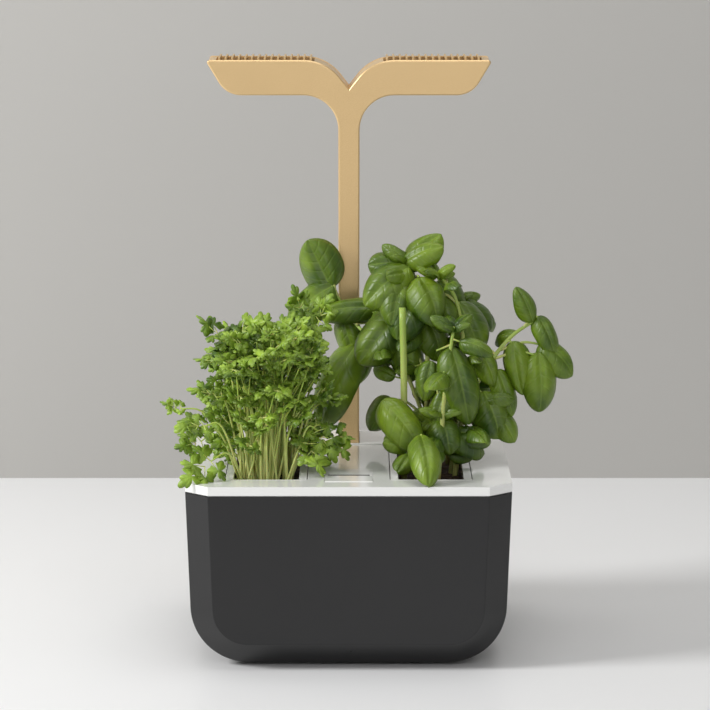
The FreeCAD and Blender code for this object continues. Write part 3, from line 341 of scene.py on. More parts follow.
def finished(node, material, bevel=0.3, segments=2):
    """A copy of a CAD node with softened edges, which stands for the node."""
    source = NODES[node]
    piece = bpy.data.objects.new(node + "_finish", source.data.copy())
    bpy.context.scene.collection.objects.link(piece)
    shape = bmesh.new()
    shape.from_mesh(piece.data)
    bmesh.ops.remove_doubles(shape, verts=shape.verts, dist=WELD_DISTANCE)
    bmesh.ops.dissolve_limit(shape, angle_limit=MERGE_ANGLE, verts=shape.verts, edges=shape.edges)
    if bevel:
        bmesh.ops.bevel(
            shape, geom=[edge for edge in shape.edges if is_sharp(edge)], offset=bevel * MM,
            offset_type="OFFSET", segments=segments, profile=BEVEL_PROFILE, affect="EDGES",
            clamp_overlap=True,
        )
    bmesh.ops.triangulate(shape, faces=[face for face in shape.faces if len(face.verts) > 4])
    for face in shape.faces:
        face.smooth = True
    for edge in shape.edges:
        steep = len(edge.link_faces) != 2 or edge.calc_face_angle(0) > CRISP_ANGLE
        edge.smooth = not steep
    shape.to_mesh(piece.data)
    shape.free()
    piece.data.materials.clear()
    piece.data.materials.append(material)
    weighted = piece.modifiers.new("weighted", "WEIGHTED_NORMAL")
    weighted.keep_sharp = True
    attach(piece, source["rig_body"])
    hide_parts(node)


# Materials
def new_material(name):
    material = bpy.data.materials.new(name)
    material.use_nodes = True
    tree = material.node_tree
    return material, tree, tree.nodes["Principled BSDF"]


def noise_node(tree, scale, detail):
    place = tree.nodes.new("ShaderNodeTexCoord")
    texture = tree.nodes.new("ShaderNodeTexNoise")
    texture.inputs["Scale"].default_value = scale
    texture.inputs["Detail"].default_value = detail
    tree.links.new(place.outputs["Object"], texture.inputs["Vector"])
    return texture.outputs["Fac"]


def ramp(tree, source, stops):
    made = tree.nodes.new("ShaderNodeValToRGB")
    elements = made.color_ramp.elements
    while len(elements) < len(stops):
        elements.new(0.5)
    for element, (position, colour) in zip(elements, stops):
        element.position = position
        element.color = (*colour, 1)
    tree.links.new(source, made.inputs["Fac"])
    return made.outputs["Color"]


def spread(tree, source, low, high):
    made = tree.nodes.new("ShaderNodeMapRange")
    made.inputs["To Min"].default_value = low
    made.inputs["To Max"].default_value = high
    tree.links.new(source, made.inputs["Value"])
    return made.outputs["Result"]


def bump(tree, shader, height, strength, distance):
    made = tree.nodes.new("ShaderNodeBump")
    made.inputs["Strength"].default_value = strength
    made.inputs["Distance"].default_value = distance
    tree.links.new(height, made.inputs["Height"])
    tree.links.new(made.outputs["Normal"], shader.inputs["Normal"])


def math_node(tree, operation, *values):
    made = tree.nodes.new("ShaderNodeMath")
    made.operation = operation
    for index, value in enumerate(values):
        if isinstance(value, (int, float)):
            made.inputs[index].default_value = value
        else:
            tree.links.new(value, made.inputs[index])
    return made.outputs[0]


def moulded_plastic(name, colour, roughness, grain, coat=0.0):
    """Moulded plastic: a little roughness variation and a very fine skin."""
    material, tree, shader = new_material(name)
    shader.inputs["Base Color"].default_value = (*colour, 1)
    cloud = noise_node(tree, 28.0, 4.0)
    tree.links.new(spread(tree, cloud, roughness * 0.8, roughness * 1.25), shader.inputs["Roughness"])
    shader.inputs["Coat Weight"].default_value = coat
    shader.inputs["Coat Roughness"].default_value = 0.06
    bump(tree, shader, noise_node(tree, 1400.0, 2.0), grain, 0.00008)
    return material


def tank_material():
    material, tree, shader = new_material("tank_charcoal")
    cloud = noise_node(tree, 9.0, 5.0)
    tone = ramp(tree, cloud, [(0.3, (0.007, 0.007, 0.0075)), (0.75, (0.010, 0.010, 0.0105))])
    tree.links.new(tone, shader.inputs["Base Color"])
    tree.links.new(spread(tree, noise_node(tree, 40.0, 4.0), 0.2, 0.3), shader.inputs["Roughness"])
    shader.inputs["Specular IOR Level"].default_value = 0.4
    shader.inputs["Coat Weight"].default_value = 0.12
    shader.inputs["Coat Roughness"].default_value = 0.07
    bump(tree, shader, noise_node(tree, 900.0, 2.0), 0.04, 0.0001)
    return material


def gold_material(name, roughness, darker=1.0):
    """Champagne-gold coating: a fine metallic flake with a satin sheen."""
    material, tree, shader = new_material(name)
    flake = noise_node(tree, 2600.0, 1.0)
    low = tuple(channel * darker for channel in (0.68, 0.47, 0.23))
    high = tuple(channel * darker for channel in (0.78, 0.56, 0.29))
    tree.links.new(ramp(tree, flake, [(0.35, low), (0.65, high)]), shader.inputs["Base Color"])
    shader.inputs["Metallic"].default_value = 0.55
    tree.links.new(spread(tree, noise_node(tree, 60.0, 4.0), roughness - 0.04, roughness + 0.06),
                   shader.inputs["Roughness"])
    bump(tree, shader, noise_node(tree, 1800.0, 2.0), 0.05, 0.0001)
    return material


def brushed_metal(name, colour, roughness):
    material, tree, shader = new_material(name)
    shader.inputs["Metallic"].default_value = 1.0
    grain = noise_node(tree, 700.0, 6.0)
    tone = ramp(tree, grain, [(0.3, tuple(c * 0.85 for c in colour)), (0.7, colour)])
    tree.links.new(tone, shader.inputs["Base Color"])
    tree.links.new(spread(tree, grain, roughness, roughness + 0.15), shader.inputs["Roughness"])
    return material


def diffuser_material():
    material, tree, shader = new_material("frosted_lens")
    cloud = noise_node(tree, 300.0, 2.0)
    tone = ramp(tree, cloud, [(0.3, (0.86, 0.87, 0.85)), (0.7, (0.92, 0.93, 0.9))])
    tree.links.new(tone, shader.inputs["Base Color"])
    shader.inputs["Roughness"].default_value = 0.4
    shader.inputs["Transmission Weight"].default_value = 0.25
    bump(tree, shader, noise_node(tree, 1500.0, 2.0), 0.15, 0.0001)
    return material


def soil_material():
    material, tree, shader = new_material("damp_soil")
    crumbs = noise_node(tree, 420.0, 8.0)
    tone = ramp(tree, crumbs, [(0.32, (0.012, 0.006, 0.003)), (0.52, (0.05, 0.024, 0.012)),
                               (0.72, (0.12, 0.065, 0.035))])
    tree.links.new(tone, shader.inputs["Base Color"])
    shader.inputs["Roughness"].default_value = 0.85
    bump(tree, shader, crumbs, 0.9, 0.0012)
    return material


def felt_material():
    material, tree, shader = new_material("wick_felt")
    fibre = noise_node(tree, 1100.0, 8.0)
    tree.links.new(ramp(tree, fibre, [(0.3, (0.55, 0.53, 0.48)), (0.7, (0.8, 0.78, 0.73))]),
                   shader.inputs["Base Color"])
    shader.inputs["Roughness"].default_value = 0.95
    bump(tree, shader, fibre, 0.8, 0.0004)
    return material


def circuit_material():
    material, tree, shader = new_material("circuit_board")
    traces = noise_node(tree, 260.0, 1.0)
    tone = ramp(tree, traces, [(0.48, (0.012, 0.09, 0.03)), (0.55, (0.03, 0.17, 0.06))])
    tree.links.new(tone, shader.inputs["Base Color"])
    shader.inputs["Roughness"].default_value = 0.35
    return material


def basil_material(name, dark, light, rib):
    """Basil blade: the UV runs along the midrib, so midrib and side veins come from it."""
    material, tree, shader = new_material(name)
    place = tree.nodes.new("ShaderNodeTexCoord")
    split = tree.nodes.new("ShaderNodeSeparateXYZ")
    tree.links.new(place.outputs["UV"], split.inputs[0])
    along = split.outputs["X"]
    side = math_node(tree, "ABSOLUTE", math_node(tree, "SUBTRACT", split.outputs["Y"], 0.5))
    midrib = math_node(tree, "SMOOTH_MIN", math_node(tree, "MULTIPLY", side, 26.0), 1.0, 0.2)
    phase = math_node(tree, "SUBTRACT", math_node(tree, "MULTIPLY", along, 5.5),
                      math_node(tree, "MULTIPLY", side, 2.6))
    wave = math_node(tree, "PINGPONG", phase, 0.5)
    veins = math_node(tree, "SMOOTH_MIN", math_node(tree, "MULTIPLY", wave, 7.0), 1.0, 0.5)
    lines = math_node(tree, "MULTIPLY", spread(tree, midrib, 0.62, 1.0), spread(tree, veins, 0.93, 1.0))
    broad = noise_node(tree, 24.0, 2.0)
    fine = noise_node(tree, 130.0, 4.0)
    cloud = math_node(tree, "ADD", math_node(tree, "MULTIPLY", broad, 0.75),
                      math_node(tree, "MULTIPLY", fine, 0.25))
    blade = ramp(tree, cloud, [(0.36, dark), (0.66, light)])
    mix = tree.nodes.new("ShaderNodeMix")
    mix.data_type = "RGBA"
    mix.inputs["A"].default_value = (*rib, 1)
    tree.links.new(blade, mix.inputs["B"])
    tree.links.new(lines, mix.inputs["Factor"])
    tree.links.new(mix.outputs["Result"], shader.inputs["Base Color"])
    tree.links.new(spread(tree, fine, 0.34, 0.5), shader.inputs["Roughness"])
    shader.inputs["Specular IOR Level"].default_value = 0.5
    shader.inputs["Subsurface Weight"].default_value = 0.1
    shader.inputs["Subsurface Radius"].default_value = (0.4, 0.9, 0.1)
    shader.inputs["Subsurface Scale"].default_value = 0.002
    pucker = math_node(tree, "ADD", math_node(tree, "MULTIPLY", midrib, veins),
                       math_node(tree, "MULTIPLY", noise_node(tree, 420.0, 3.0), 0.6))
    bump(tree, shader, pucker, 0.3, 0.0006)
    return material


def parsley_material(name, dark, light):
    material, tree, shader = new_material(name)
    broad = noise_node(tree, 55.0, 2.0)
    fine = noise_node(tree, 260.0, 3.0)
    cloud = math_node(tree, "ADD", math_node(tree, "MULTIPLY", broad, 0.65),
                      math_node(tree, "MULTIPLY", fine, 0.35))
    tree.links.new(ramp(tree, cloud, [(0.36, dark), (0.64, light)]), shader.inputs["Base Color"])
    tree.links.new(spread(tree, fine, 0.34, 0.5), shader.inputs["Roughness"])
    shader.inputs["Subsurface Weight"].default_value = 0.08
    shader.inputs["Subsurface Radius"].default_value = (0.4, 0.9, 0.1)
    shader.inputs["Subsurface Scale"].default_value = 0.0015
    bump(tree, shader, noise_node(tree, 900.0, 3.0), 0.5, 0.0004)
    return material


def stem_material(name, low, high):
    """Stems are pale at the foot and greener towards the leaves, with a fine bumpy skin."""
    material, tree, shader = new_material(name)
    place = tree.nodes.new("ShaderNodeTexCoord")
    split = tree.nodes.new("ShaderNodeSeparateXYZ")
    tree.links.new(place.outputs["UV"], split.inputs[0])
    tree.links.new(ramp(tree, split.outputs["X"], [(0.05, low), (0.85, high)]), shader.inputs["Base Color"])
    shader.inputs["Roughness"].default_value = 0.42
    shader.inputs["Subsurface Weight"].default_value = 0.15
    shader.inputs["Subsurface Scale"].default_value = 0.002
    bump(tree, shader, noise_node(tree, 600.0, 3.0), 0.4, 0.0003)
    return material


# Leaves
def leaf_axes(base, tip, facing):
    along = (tip - base).normalized()
    face = facing - along * facing.dot(along)
    if face.length < LEAST_FACE:
        face = Vector((0, 0, 1)) - along * along.z
    face.normalize()
    return along, face.cross(along), face


def blade_outline(t):
    """Width of a basil blade at a share of its length, blunt at both ends."""
    full = max(1 - abs(2 * t ** OUTLINE_SKEW - 1) ** OUTLINE_FULLNESS, 0.0)
    return max(full ** OUTLINE_BLUNTNESS, OUTLINE_LEAST)


def add_basil_leaf(builder, base, tip, width, facing, arch, twist, rng):
    """One blade: arched along, domed on each side of its midrib, blunt at both ends, with a wavy edge."""
    along, side, face = leaf_axes(base, tip, facing)
    length = (tip - base).length
    phase = rng.uniform(*WAVE_PHASES)
    curl = rng.uniform(0.0, MOST_CURL)
    points = []
    uvs = []
    for row in range(BLADE_ROWS):
        t = (1 - math.cos(math.pi * row / (BLADE_ROWS - 1))) / 2
        outline = blade_outline(t)
        turn = twist * t
        across = side * math.cos(turn) + face * math.sin(turn)
        up = face * math.cos(turn) - side * math.sin(turn)
        for column in range(BLADE_COLUMNS):
            s = 2 * column / (BLADE_COLUMNS - 1) - 1
            edge = abs(s)
            out = s * outline * width / 2 * (1 - EDGE_GATHER * edge)
            rise = arch * length * ARCH_SCALE * (t - t * t) - curl * length * t ** 4
            rise += DOME_HEIGHT * width * math.sin(math.pi * edge ** DOME_SKEW) * outline
            rise -= DROOP_DEPTH * width * edge ** DROOP_POWER * outline
            vein = abs(math.sin(math.pi * (VEIN_PAIRS * t - VEIN_SLANT * edge)))
            onset = min(1.0, VEIN_ONSET * edge)
            rise += VEIN_HEIGHT * width * vein * outline * onset * (1 - VEIN_FADE * edge)
            wave = math.sin(phase + WAVES_ALONG * t + WAVES_ACROSS * s)
            rise += WAVE_HEIGHT * width * wave * edge * edge
            points.append(base + along * (length * t) + across * out + up * rise)
            uvs.append((t, (s + 1) / 2))
    builder.add(points, grid_faces(BLADE_ROWS, BLADE_COLUMNS), uvs)


def thicken(piece, thickness):
    solid = piece.modifiers.new("thickness", "SOLIDIFY")
    solid.thickness = thickness * MM
    solid.offset = 0


def add_parsley_leaflet(builder, base, tip, facing, rng):
    """One leaflet: three deep lobes, each with three rounded teeth, curled a little."""
    along, side, face = leaf_axes(base, tip, facing)
    length = (tip - base).length
    centre = base + along * (LEAFLET_MIDDLE * length)
    curl = rng.uniform(*LEAFLET_CURLS)
    wave = rng.uniform(*WAVE_PHASES)
    points = [centre + face * (LEAFLET_LIFT * length)]
    uvs = [(0.45, 0.5)]
    for k in range(LEAFLET_POINTS):
        angle = math.radians(-LEAFLET_TURN + 2 * LEAFLET_TURN * k / (LEAFLET_POINTS - 1))
        lobe = abs(math.cos(1.5 * angle)) ** LOBE_POWER
        tooth = TOOTH_FOOT + TOOTH_HEIGHT * abs(math.cos(4.5 * angle)) ** TOOTH_POWER
        reach = length * (LEAFLET_CORE + LEAFLET_REACH * lobe * tooth)
        out = reach * math.sin(angle)
        ahead = reach * math.cos(angle)
        rise = curl * reach * reach / length + LEAFLET_RIPPLE * length * math.sin(wave + 3 * angle)
        points.append(centre + along * ahead + side * out + face * rise)
        uvs.append((0.45 + 0.5 * ahead / length, 0.5 + 0.5 * out / length))
    builder.add(points, [(0, k + 1, k + 2) for k in range(LEAFLET_POINTS - 1)], uvs)


# Basil: stems by their points above the soil, in millimetres
BASIL_STEMS = {
    "cut": [(31, -26, -2), (31, -25, 55), (30, -22, 96)],
    "tall": [(40, -8, -2), (45, -6, 55), (40, 0, 100), (33, 3, 121)],
    "right": [(50, -36, -2), (53, -34, 40), (56, -30, 66), (59, -27, 86)],
    "curve": [(58, -12, -2), (62, -12, 40), (65, -11, 72), (60, -8, 100), (50, -4, 113)],
    "sprig": [(60, -18, -2), (65, -17, 36), (79, -13, 62), (92, -11, 78), (105, -10, 87)],
    "left": [(46, -2, -2), (42, -6, 30), (37, -8, 46), (28, -4, 64), (12, 14, 74), (2, 27, 82), (-9, 32, 99)],
    "back": [(57, 18, -2), (60, 20, 60), (62, 20, 96)],
    "front": [(44, -48, -2), (42, -54, 14), (40, -58, 29)],
    "branch": [(45, -6, 53), (36, 0, 72), (28, 2, 88)],
    "low": [(47, -30, -2), (50, -32, 18), (52, -32, 38)],
}

# Stem, foot and tip of each blade in millimetres, its width, the way it faces and its arch
BASIL_LEAVES = [
    ("tall", (31, 2, 215), (52, -5, 226), 19, (0, -0.8, 0.7), 0.2),
    ("tall", (34, 6, 214), (52, 10, 231), 22, (-0.2, -1, 0.5), 0.15),
    ("tall", (30, 6, 214), (11, 6, 213), 21, (0, -0.8, 0.6), 0.25),
    ("tall", (34, -2, 213), (9, -9, 192), 30, (-0.2, -1, 0.7), 0.3),
    ("tall", (30, -4, 208), (24, -18, 182), 22, (0, -1, 0.5), 0.2),
    ("tall", (40, -8, 208), (51, -22, 184), 27, (0.3, -1, 0.5), 0.25),
    ("tall", (38, -4, 200), (28, -22, 176), 25, (0, -1, 0.6), 0.2),
    ("tall", (44, -2, 186), (53, -6, 160), 22, (0.1, -1, 0.4), 0.2),
    ("curve", (54, 4, 206), (64, 6, 181), 22, (0.3, -1, 0.2), 0.15),
    ("curve", (62, -4, 193), (75, -8, 165), 26, (0.3, -1, 0.3), 0.2),
    ("curve", (50, -8, 198), (56, -16, 178), 20, (0, -1, 0.4), 0.2),
    ("left", (-10, 32, 196), (-24, 33, 224), 28, (0, -1, 0.1), -0.1),
    ("left", (-9, 32, 198), (-35, 30, 178), 27, (-0.2, -1, 0.6), 0.25),
    ("left", (20, 27, 186), (-19, 26, 183), 18, (0, -1, 0.6), 0.2),
    ("left", (-4, 30, 180), (5, 27, 154), 18, (-0.1, -1, 0.2), 0.1),
    ("left", (4, 26, 164), (-19, 22, 118), 29, (-0.35, -1, 0.45), 0.3),
    ("left", (12, 27, 164), (4, 25, 140), 14, (0.4, -1, 0.1), 0.1),
    ("left", (24, 24, 134), (12, 24, 114), 18, (-0.2, -1, 0.3), 0.1),
    ("branch", (29, 0, 186), (6, -5, 158), 29, (-0.1, -1, 0.6), 0.2),
    ("branch", (30, 0, 176), (36, -6, 148), 22, (0.1, -1, 0.3), 0.15),
    ("right", (57, -28, 171), (68, -37, 129), 25, (0.3, -1, 0.3), 0.2),
    ("right", (56, -28, 150), (48, -34, 128), 18, (-0.3, -1, 0.3), 0.15),
    ("low", (46, -26, 163), (42, -30, 141), 15, (0, -1, 0.2), 0.15),
    ("low", (52, -30, 132), (57, -40, 113), 23, (0.2, -1, 0.5), 0.2),
    ("low", (57, -28, 122), (80, -30, 119), 17, (0, -0.8, 0.8), 0.3),
    ("low", (34, -36, 118), (20, -42, 120), 15, (-0.3, -1, 0.6), 0.25),
    ("low", (34, -46, 113), (27, -56, 105), 13, (-0.2, -1, 0.6), 0.2),
    ("cut", (19, -34, 142), (40, -46, 117), 24, (-0.1, -1, 0.6), 0.25),
    ("front", (40, -58, 126), (44, -92, 106), 20, (0, -0.6, 0.8), 0.3),
    ("sprig", (104, -11, 183), (95, -13, 203), 14, (0.2, -1, 0.3), 0.2),
    ("sprig", (107, -10, 186), (117, -15, 165), 15, (0.3, -1, 0.4), 0.2),
    ("sprig", (93, -12, 172), (98, -17, 142), 18, (-0.2, -1, 0.3), 0.2),
    ("sprig", (107, -14, 166), (109, -20, 133), 23, (0.1, -1, 0.3), 0.2),
    ("sprig", (109, -10, 171), (127, -10, 152), 20, (0.3, -1, 0.5), 0.35),
    ("sprig", (74, -14, 168), (83, -18, 148), 16, (0.3, -1, 0.3), 0.15),
    ("sprig", (84, -13, 156), (93, -17, 130), 16, (0.2, -1, 0.3), 0.15),
    ("sprig", (76, -16, 144), (86, -24, 119), 26, (0.2, -1, 0.5), 0.2),
    ("sprig", (84, -18, 132), (94, -22, 116), 16, (0.3, -1, 0.4), 0.2),
    ("back", (62, 18, 190), (82, 14, 176), 22, (0.2, -0.9, 0.6), 0.3),
    ("back", (60, 20, 186), (44, 30, 172), 22, (-0.2, -1, 0.5), 0.25),
    ("back", (60, 20, 152), (82, 18, 130), 24, (0.2, -1, 0.4), 0.2),
]


def stem_point(points, height):
    for start, end in zip(points, points[1:]):
        if start[2] <= height <= end[2]:
            share = (height - start[2]) / (end[2] - start[2])
            return Vector(start).lerp(Vector(end), share)
    return Vector(points[-1])


def add_basil_stems(stems):
    for name, points in BASIL_STEMS.items():
        radius = STEM_RADII.get(name, STEM_RADIUS)
        taper = CUT_STEM_TAPER if name == "cut" else STEM_TAPER
        placed = [above_soil(*point) for point in points]
        add_stem(stems, placed, radius * MM, radius * taper * MM, sides=10)


def add_placed_blades(leaves, stems, rng):
    """The blades that were placed one by one, each on a stalk from its stem."""
    for name, foot, tip, width, facing, arch in BASIL_LEAVES:
        height = min(max(foot[2] - SOIL_TOP - STALK_DROP, 0), BASIL_STEMS[name][-1][2])
        root = above_soil(*stem_point(BASIL_STEMS[name], height))
        base = metres(*foot)
        end = metres(*tip)
        along = (end - base).normalized()
        middle = root.lerp(base, STALK_MIDDLE) + metres(0, 0, STALK_BOW)
        if (base - root).length > STALK_LAP * MM:
            stalk = [root, middle, base + along * (STALK_LAP * MM)]
            add_stem(stems, stalk, STALK_RADIUS * MM, STALK_END_RADIUS * MM, sides=7)
        twist = rng.uniform(-BLADE_TWIST, BLADE_TWIST)
        add_basil_leaf(leaves, base, end, width * MM, Vector(facing), arch, twist, rng)


def add_buds(leaves, rng):
    """A rosette of small blades at the top of each stem that bears one."""
    for name in BUD_STEMS:
        x, y, z = BASIL_STEMS[name][-1]
        bud = metres(x, y, z + SOIL_TOP - BUD_SINK)
        for turn in range(BUD_LEAVES):
            angle = 2 * math.pi * (turn + rng.uniform(-0.2, 0.2)) / BUD_LEAVES - 0.8
            aim = Vector((math.cos(angle), 0.7 * math.sin(angle), rng.uniform(0.1, 0.7))).normalized()
            length = rng.uniform(*BUD_LENGTHS) * MM
            facing = Vector((0.3 * math.cos(angle), -0.7, 0.8))
            twist = rng.uniform(-BUD_TWIST, BUD_TWIST)
            tip = bud + aim * length
            add_basil_leaf(leaves, bud, tip, BUD_WIDTH * length, facing, BUD_ARCH, twist, rng)


def hides_cut_stem(point):
    """Whether a blade that ends here would cover the bare cut stem."""
    low, high = CUT_STEM_BARE
    beside = abs(point.x - CUT_STEM_MIDDLE) < CUT_STEM_CLEARANCE
    return beside and point.y < CUT_STEM_FRONT and low < point.z < high


def add_fill(leaves, stems, rng):
    """Small blades that stand out from the stems all round and close the gaps in the foliage."""
    names = [name for name in BASIL_STEMS if name not in ("front", "cut")]
    for index in range(BASIL_FILL):
        points = BASIL_STEMS[names[index % len(names)]]
        height = max(rng.uniform(*FILL_HEIGHTS) * points[-1][2], points[0][2] + 1)
        root = stem_point(points, height)
        angle = rng.uniform(0, 2 * math.pi)
        across = Vector((math.cos(angle), math.sin(angle), rng.uniform(*FILL_SLOPES)))
        start = root + across * rng.uniform(*FILL_STARTS)
        end = start + across * rng.uniform(*FILL_LENGTHS)
        for point in (start, end):
            point.x = max(point.x, rng.uniform(*FILL_LEFT_LIMITS))
            point.y = min(point.y, FILL_BACK_LIMIT)
            point.z = max(point.z, FILL_LOW_LIMIT)
        foot = above_soil(*root)
        base = above_soil(*start)
        tip = above_soil(*end)
        length = (tip - base).length
        if length < FILL_LEAST_BLADE * MM or (base - foot).length < FILL_LEAST_STALK * MM:
            continue
        stalk = [foot, foot.lerp(base, 0.5), base]
        add_stem(stems, stalk, FILL_STALK_RADIUS * MM, FILL_STALK_END_RADIUS * MM, sides=6, steps=3)
        if hides_cut_stem(end):
            continue
        facing = Vector((0.4 * math.cos(angle), -0.8 + 0.3 * math.sin(angle), 0.7))
        width = length * rng.uniform(*FILL_WIDTHS)
        arch = rng.uniform(*FILL_ARCHES)
        twist = rng.uniform(-FILL_TWIST, FILL_TWIST)
        add_basil_leaf(leaves, base, tip, width, facing, arch, twist, rng)


def basil(rng):
    stems = Builder()
    leaves = Builder()
    add_basil_stems(stems)
    add_placed_blades(leaves, stems, rng)
    add_buds(leaves, rng)
    add_fill(leaves, stems, rng)
    leaf_look = basil_material("basil_leaf", (0.028, 0.07, 0.001), (0.2, 0.3, 0.012), (0.26, 0.38, 0.05))
    stem_look = stem_material("basil_stem", (0.48, 0.5, 0.16), (0.3, 0.42, 0.07))
    blades = leaves.piece("basil_leaves", leaf_look, "pod_right", "basil_green")
    thicken(blades, BLADE_THICKNESS)
    stalks = stems.piece("basil_stems", stem_look, "pod_right", "basil_green")
    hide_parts("basil_plant")
    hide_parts("basil_plant")


# Parsley's outer stems: foot, knee with its height above the soil and head in millimetres, the leaf's
# heading, and its size
PARSLEY_SKIRT = [
    ((-57, -54), (-66, -64, 20), (-76, -71, 114), (-0.5, -0.5, -0.4), 24),
    ((-58, -50), (-70, -58, 34), (-80, -62, 132), (-0.6, -0.5, 0.1), 20),
    ((-60, -44), (-72, -50, 30), (-82, -54, 122), (-0.6, -0.5, -0.1), 18),
    ((-58, -40), (-68, -44, 44), (-74, -46, 146), (-0.6, -0.4, 0.3), 18),
    ((-36, -56), (-27, -52, 22), (-22, -50, 120), (0.2, -0.4, -0.6), 22),
    ((-34, -50), (-24, -44, 30), (-17, -42, 126), (0.3, -0.3, -0.5), 20),
    ((-34, -44), (-20, -38, 30), (-10, -32, 124), (0.3, -0.2, -0.4), 19),
    ((-34, -40), (-22, -30, 36), (-13, -24, 140), (0.3, -0.3, 0.1), 17),
    ((-34, -40), (-24, -34, 40), (-17, -34, 146), (0.3, -0.4, 0.2), 16),
    ((-55, -20), (-80, -20, 34), (-95, -20, 135), (-0.8, -0.2, 0.3), 12),
    ((-58, -28), (-66, -28, 60), (-70, -30, 176), (-0.6, -0.2, 0.5), 20),
    ((-50, -28), (-58, -28, 60), (-62, -30, 178), (0.5, -0.2, 0.5), 18),
    ((-40, 0), (-24, 0, 60), (-17, 0, 182), (0.2, -0.2, 0.5), 18),
    ((-40, 4), (-30, 4, 60), (-26, 4, 186), (-0.2, -0.2, 0.5), 18),
]


def add_parsley_leaf(leaves, stems, head, heading, size, rng):
    """Five leaflets on short stalks along the end of a stem."""
    facing = Vector((rng.uniform(-0.6, 0.6), -0.9 + rng.uniform(-0.4, 0.4), 0.9))
    side = heading.cross(facing)
    if side.length < LEAST_SIDE:
        side = Vector((1, 0, 0))
    side.normalize()
    for turn, place, share in LEAFLETS:
        aim = heading * math.cos(turn) + side * math.sin(turn)
        aim += Vector([rng.uniform(-0.15, 0.15) for axis in range(3)])
        aim.normalize()
        joint = head + heading * (place * LEAF_RIB * size)
        step = aim * (LEAFLET_STALK * size)
        start = joint + step
        tip = start + aim * (size * share)
        add_stem(stems, [joint, start + step], 0.35 * MM, 0.25 * MM, sides=4, steps=1)
        add_parsley_leaflet(leaves, start, tip, facing, rng)


def add_parsley_crown(leaves, stems, rng):
    """Stems in a sunflower spiral, so the crown is evenly full. The outer ones lean out and stay lower."""
    golden = math.pi * (3 - math.sqrt(5))
    for index in range(PARSLEY_LEAVES):
        share = math.sqrt((index + 0.5) / PARSLEY_LEAVES)
        angle = index * golden
        across = math.cos(angle)
        back = math.sin(angle)
        foot_across = math.cos(angle + rng.uniform(-0.9, 0.9))
        foot = Vector((PARSLEY_MIDDLE[0] + PARSLEY_FOOT[0] * share * foot_across,
                       PARSLEY_MIDDLE[1] + PARSLEY_FOOT[1] * share * back, SOIL_TOP - FOOT_SINK))
        foot.y = max(foot.y, PARSLEY_FRONT)
        depth = rng.choice(PARSLEY_STEPS) * (1 + share * abs(across) ** 2)
        lean = PARSLEY_SPREAD[0] * share * across + rng.uniform(-6, 6)
        top = PARSLEY_TOP + PARSLEY_SLOPE * lean - PARSLEY_SHOULDER * share ** 3 - depth
        head = Vector((PARSLEY_MIDDLE[0] + lean,
                       PARSLEY_MIDDLE[1] + PARSLEY_SPREAD[1] * share * back + rng.uniform(-5, 5),
                       top + rng.uniform(-5, 5)))
        size = rng.uniform(*PARSLEY_SIZES)
        head.x = min(head.x, PARSLEY_RIGHT - HEAD_MARGIN)
        head.y = min(head.y, PARSLEY_BACK - HEAD_MARGIN)
        bow = Vector((-PARSLEY_KNEE * across + rng.uniform(-4, 4), -PARSLEY_KNEE * back, PARSLEY_KNEE))
        knee = foot.lerp(head, 0.5) + bow
        placed = [metres(*foot), metres(*knee), metres(*head)]
        radius = rng.uniform(*PARSLEY_STEM_RADII) * MM
        add_stem(stems, placed, radius, 0.4 * MM, sides=6, steps=4, groove=0.12)
        outward = 0.3 + share
        heading = Vector((across * outward, back * outward - 0.3, 0.8 - share * 0.7)).normalized()
        if head.x + heading.x * size > PARSLEY_RIGHT - TIP_MARGIN:
            heading = Vector((-0.3, heading.y, heading.z)).normalized()
        if head.y + heading.y * size > PARSLEY_BACK - TIP_MARGIN:
            heading = Vector((heading.x, -0.3, heading.z)).normalized()
        add_parsley_leaf(leaves, stems, metres(*head), heading, size * MM, rng)


def add_parsley_skirt(leaves, stems, rng):
    """The outer stems, which hang over the rim or fill the crown's edge."""
    for foot, knee, head, heading, size in PARSLEY_SKIRT:
        placed = [metres(*foot, SOIL_TOP - FOOT_SINK), above_soil(*knee), metres(*head)]
        add_stem(stems, placed, 0.7 * MM, 0.4 * MM, sides=7, steps=6)
        add_parsley_leaf(leaves, stems, metres(*head), Vector(heading).normalized(), size * MM, rng)


def parsley(rng):
    leaves = Builder()
    stems = Builder()
    add_parsley_crown(leaves, stems, rng)
    add_parsley_skirt(leaves, stems, rng)
    leaf_look = parsley_material("parsley_leaf", (0.05, 0.11, 0.002), (0.34, 0.5, 0.05))
    stem_look = stem_material("parsley_stem", (0.66, 0.7, 0.24), (0.4, 0.55, 0.08))
    blades = leaves.piece("parsley_leaves", leaf_look, "pod_left", "parsley_green")
    thicken(blades, LEAFLET_THICKNESS)
    stalks = stems.piece("parsley_stems", stem_look, "pod_left", "parsley_green")
    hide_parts("parsley_plant")
    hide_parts("parsley_plant")


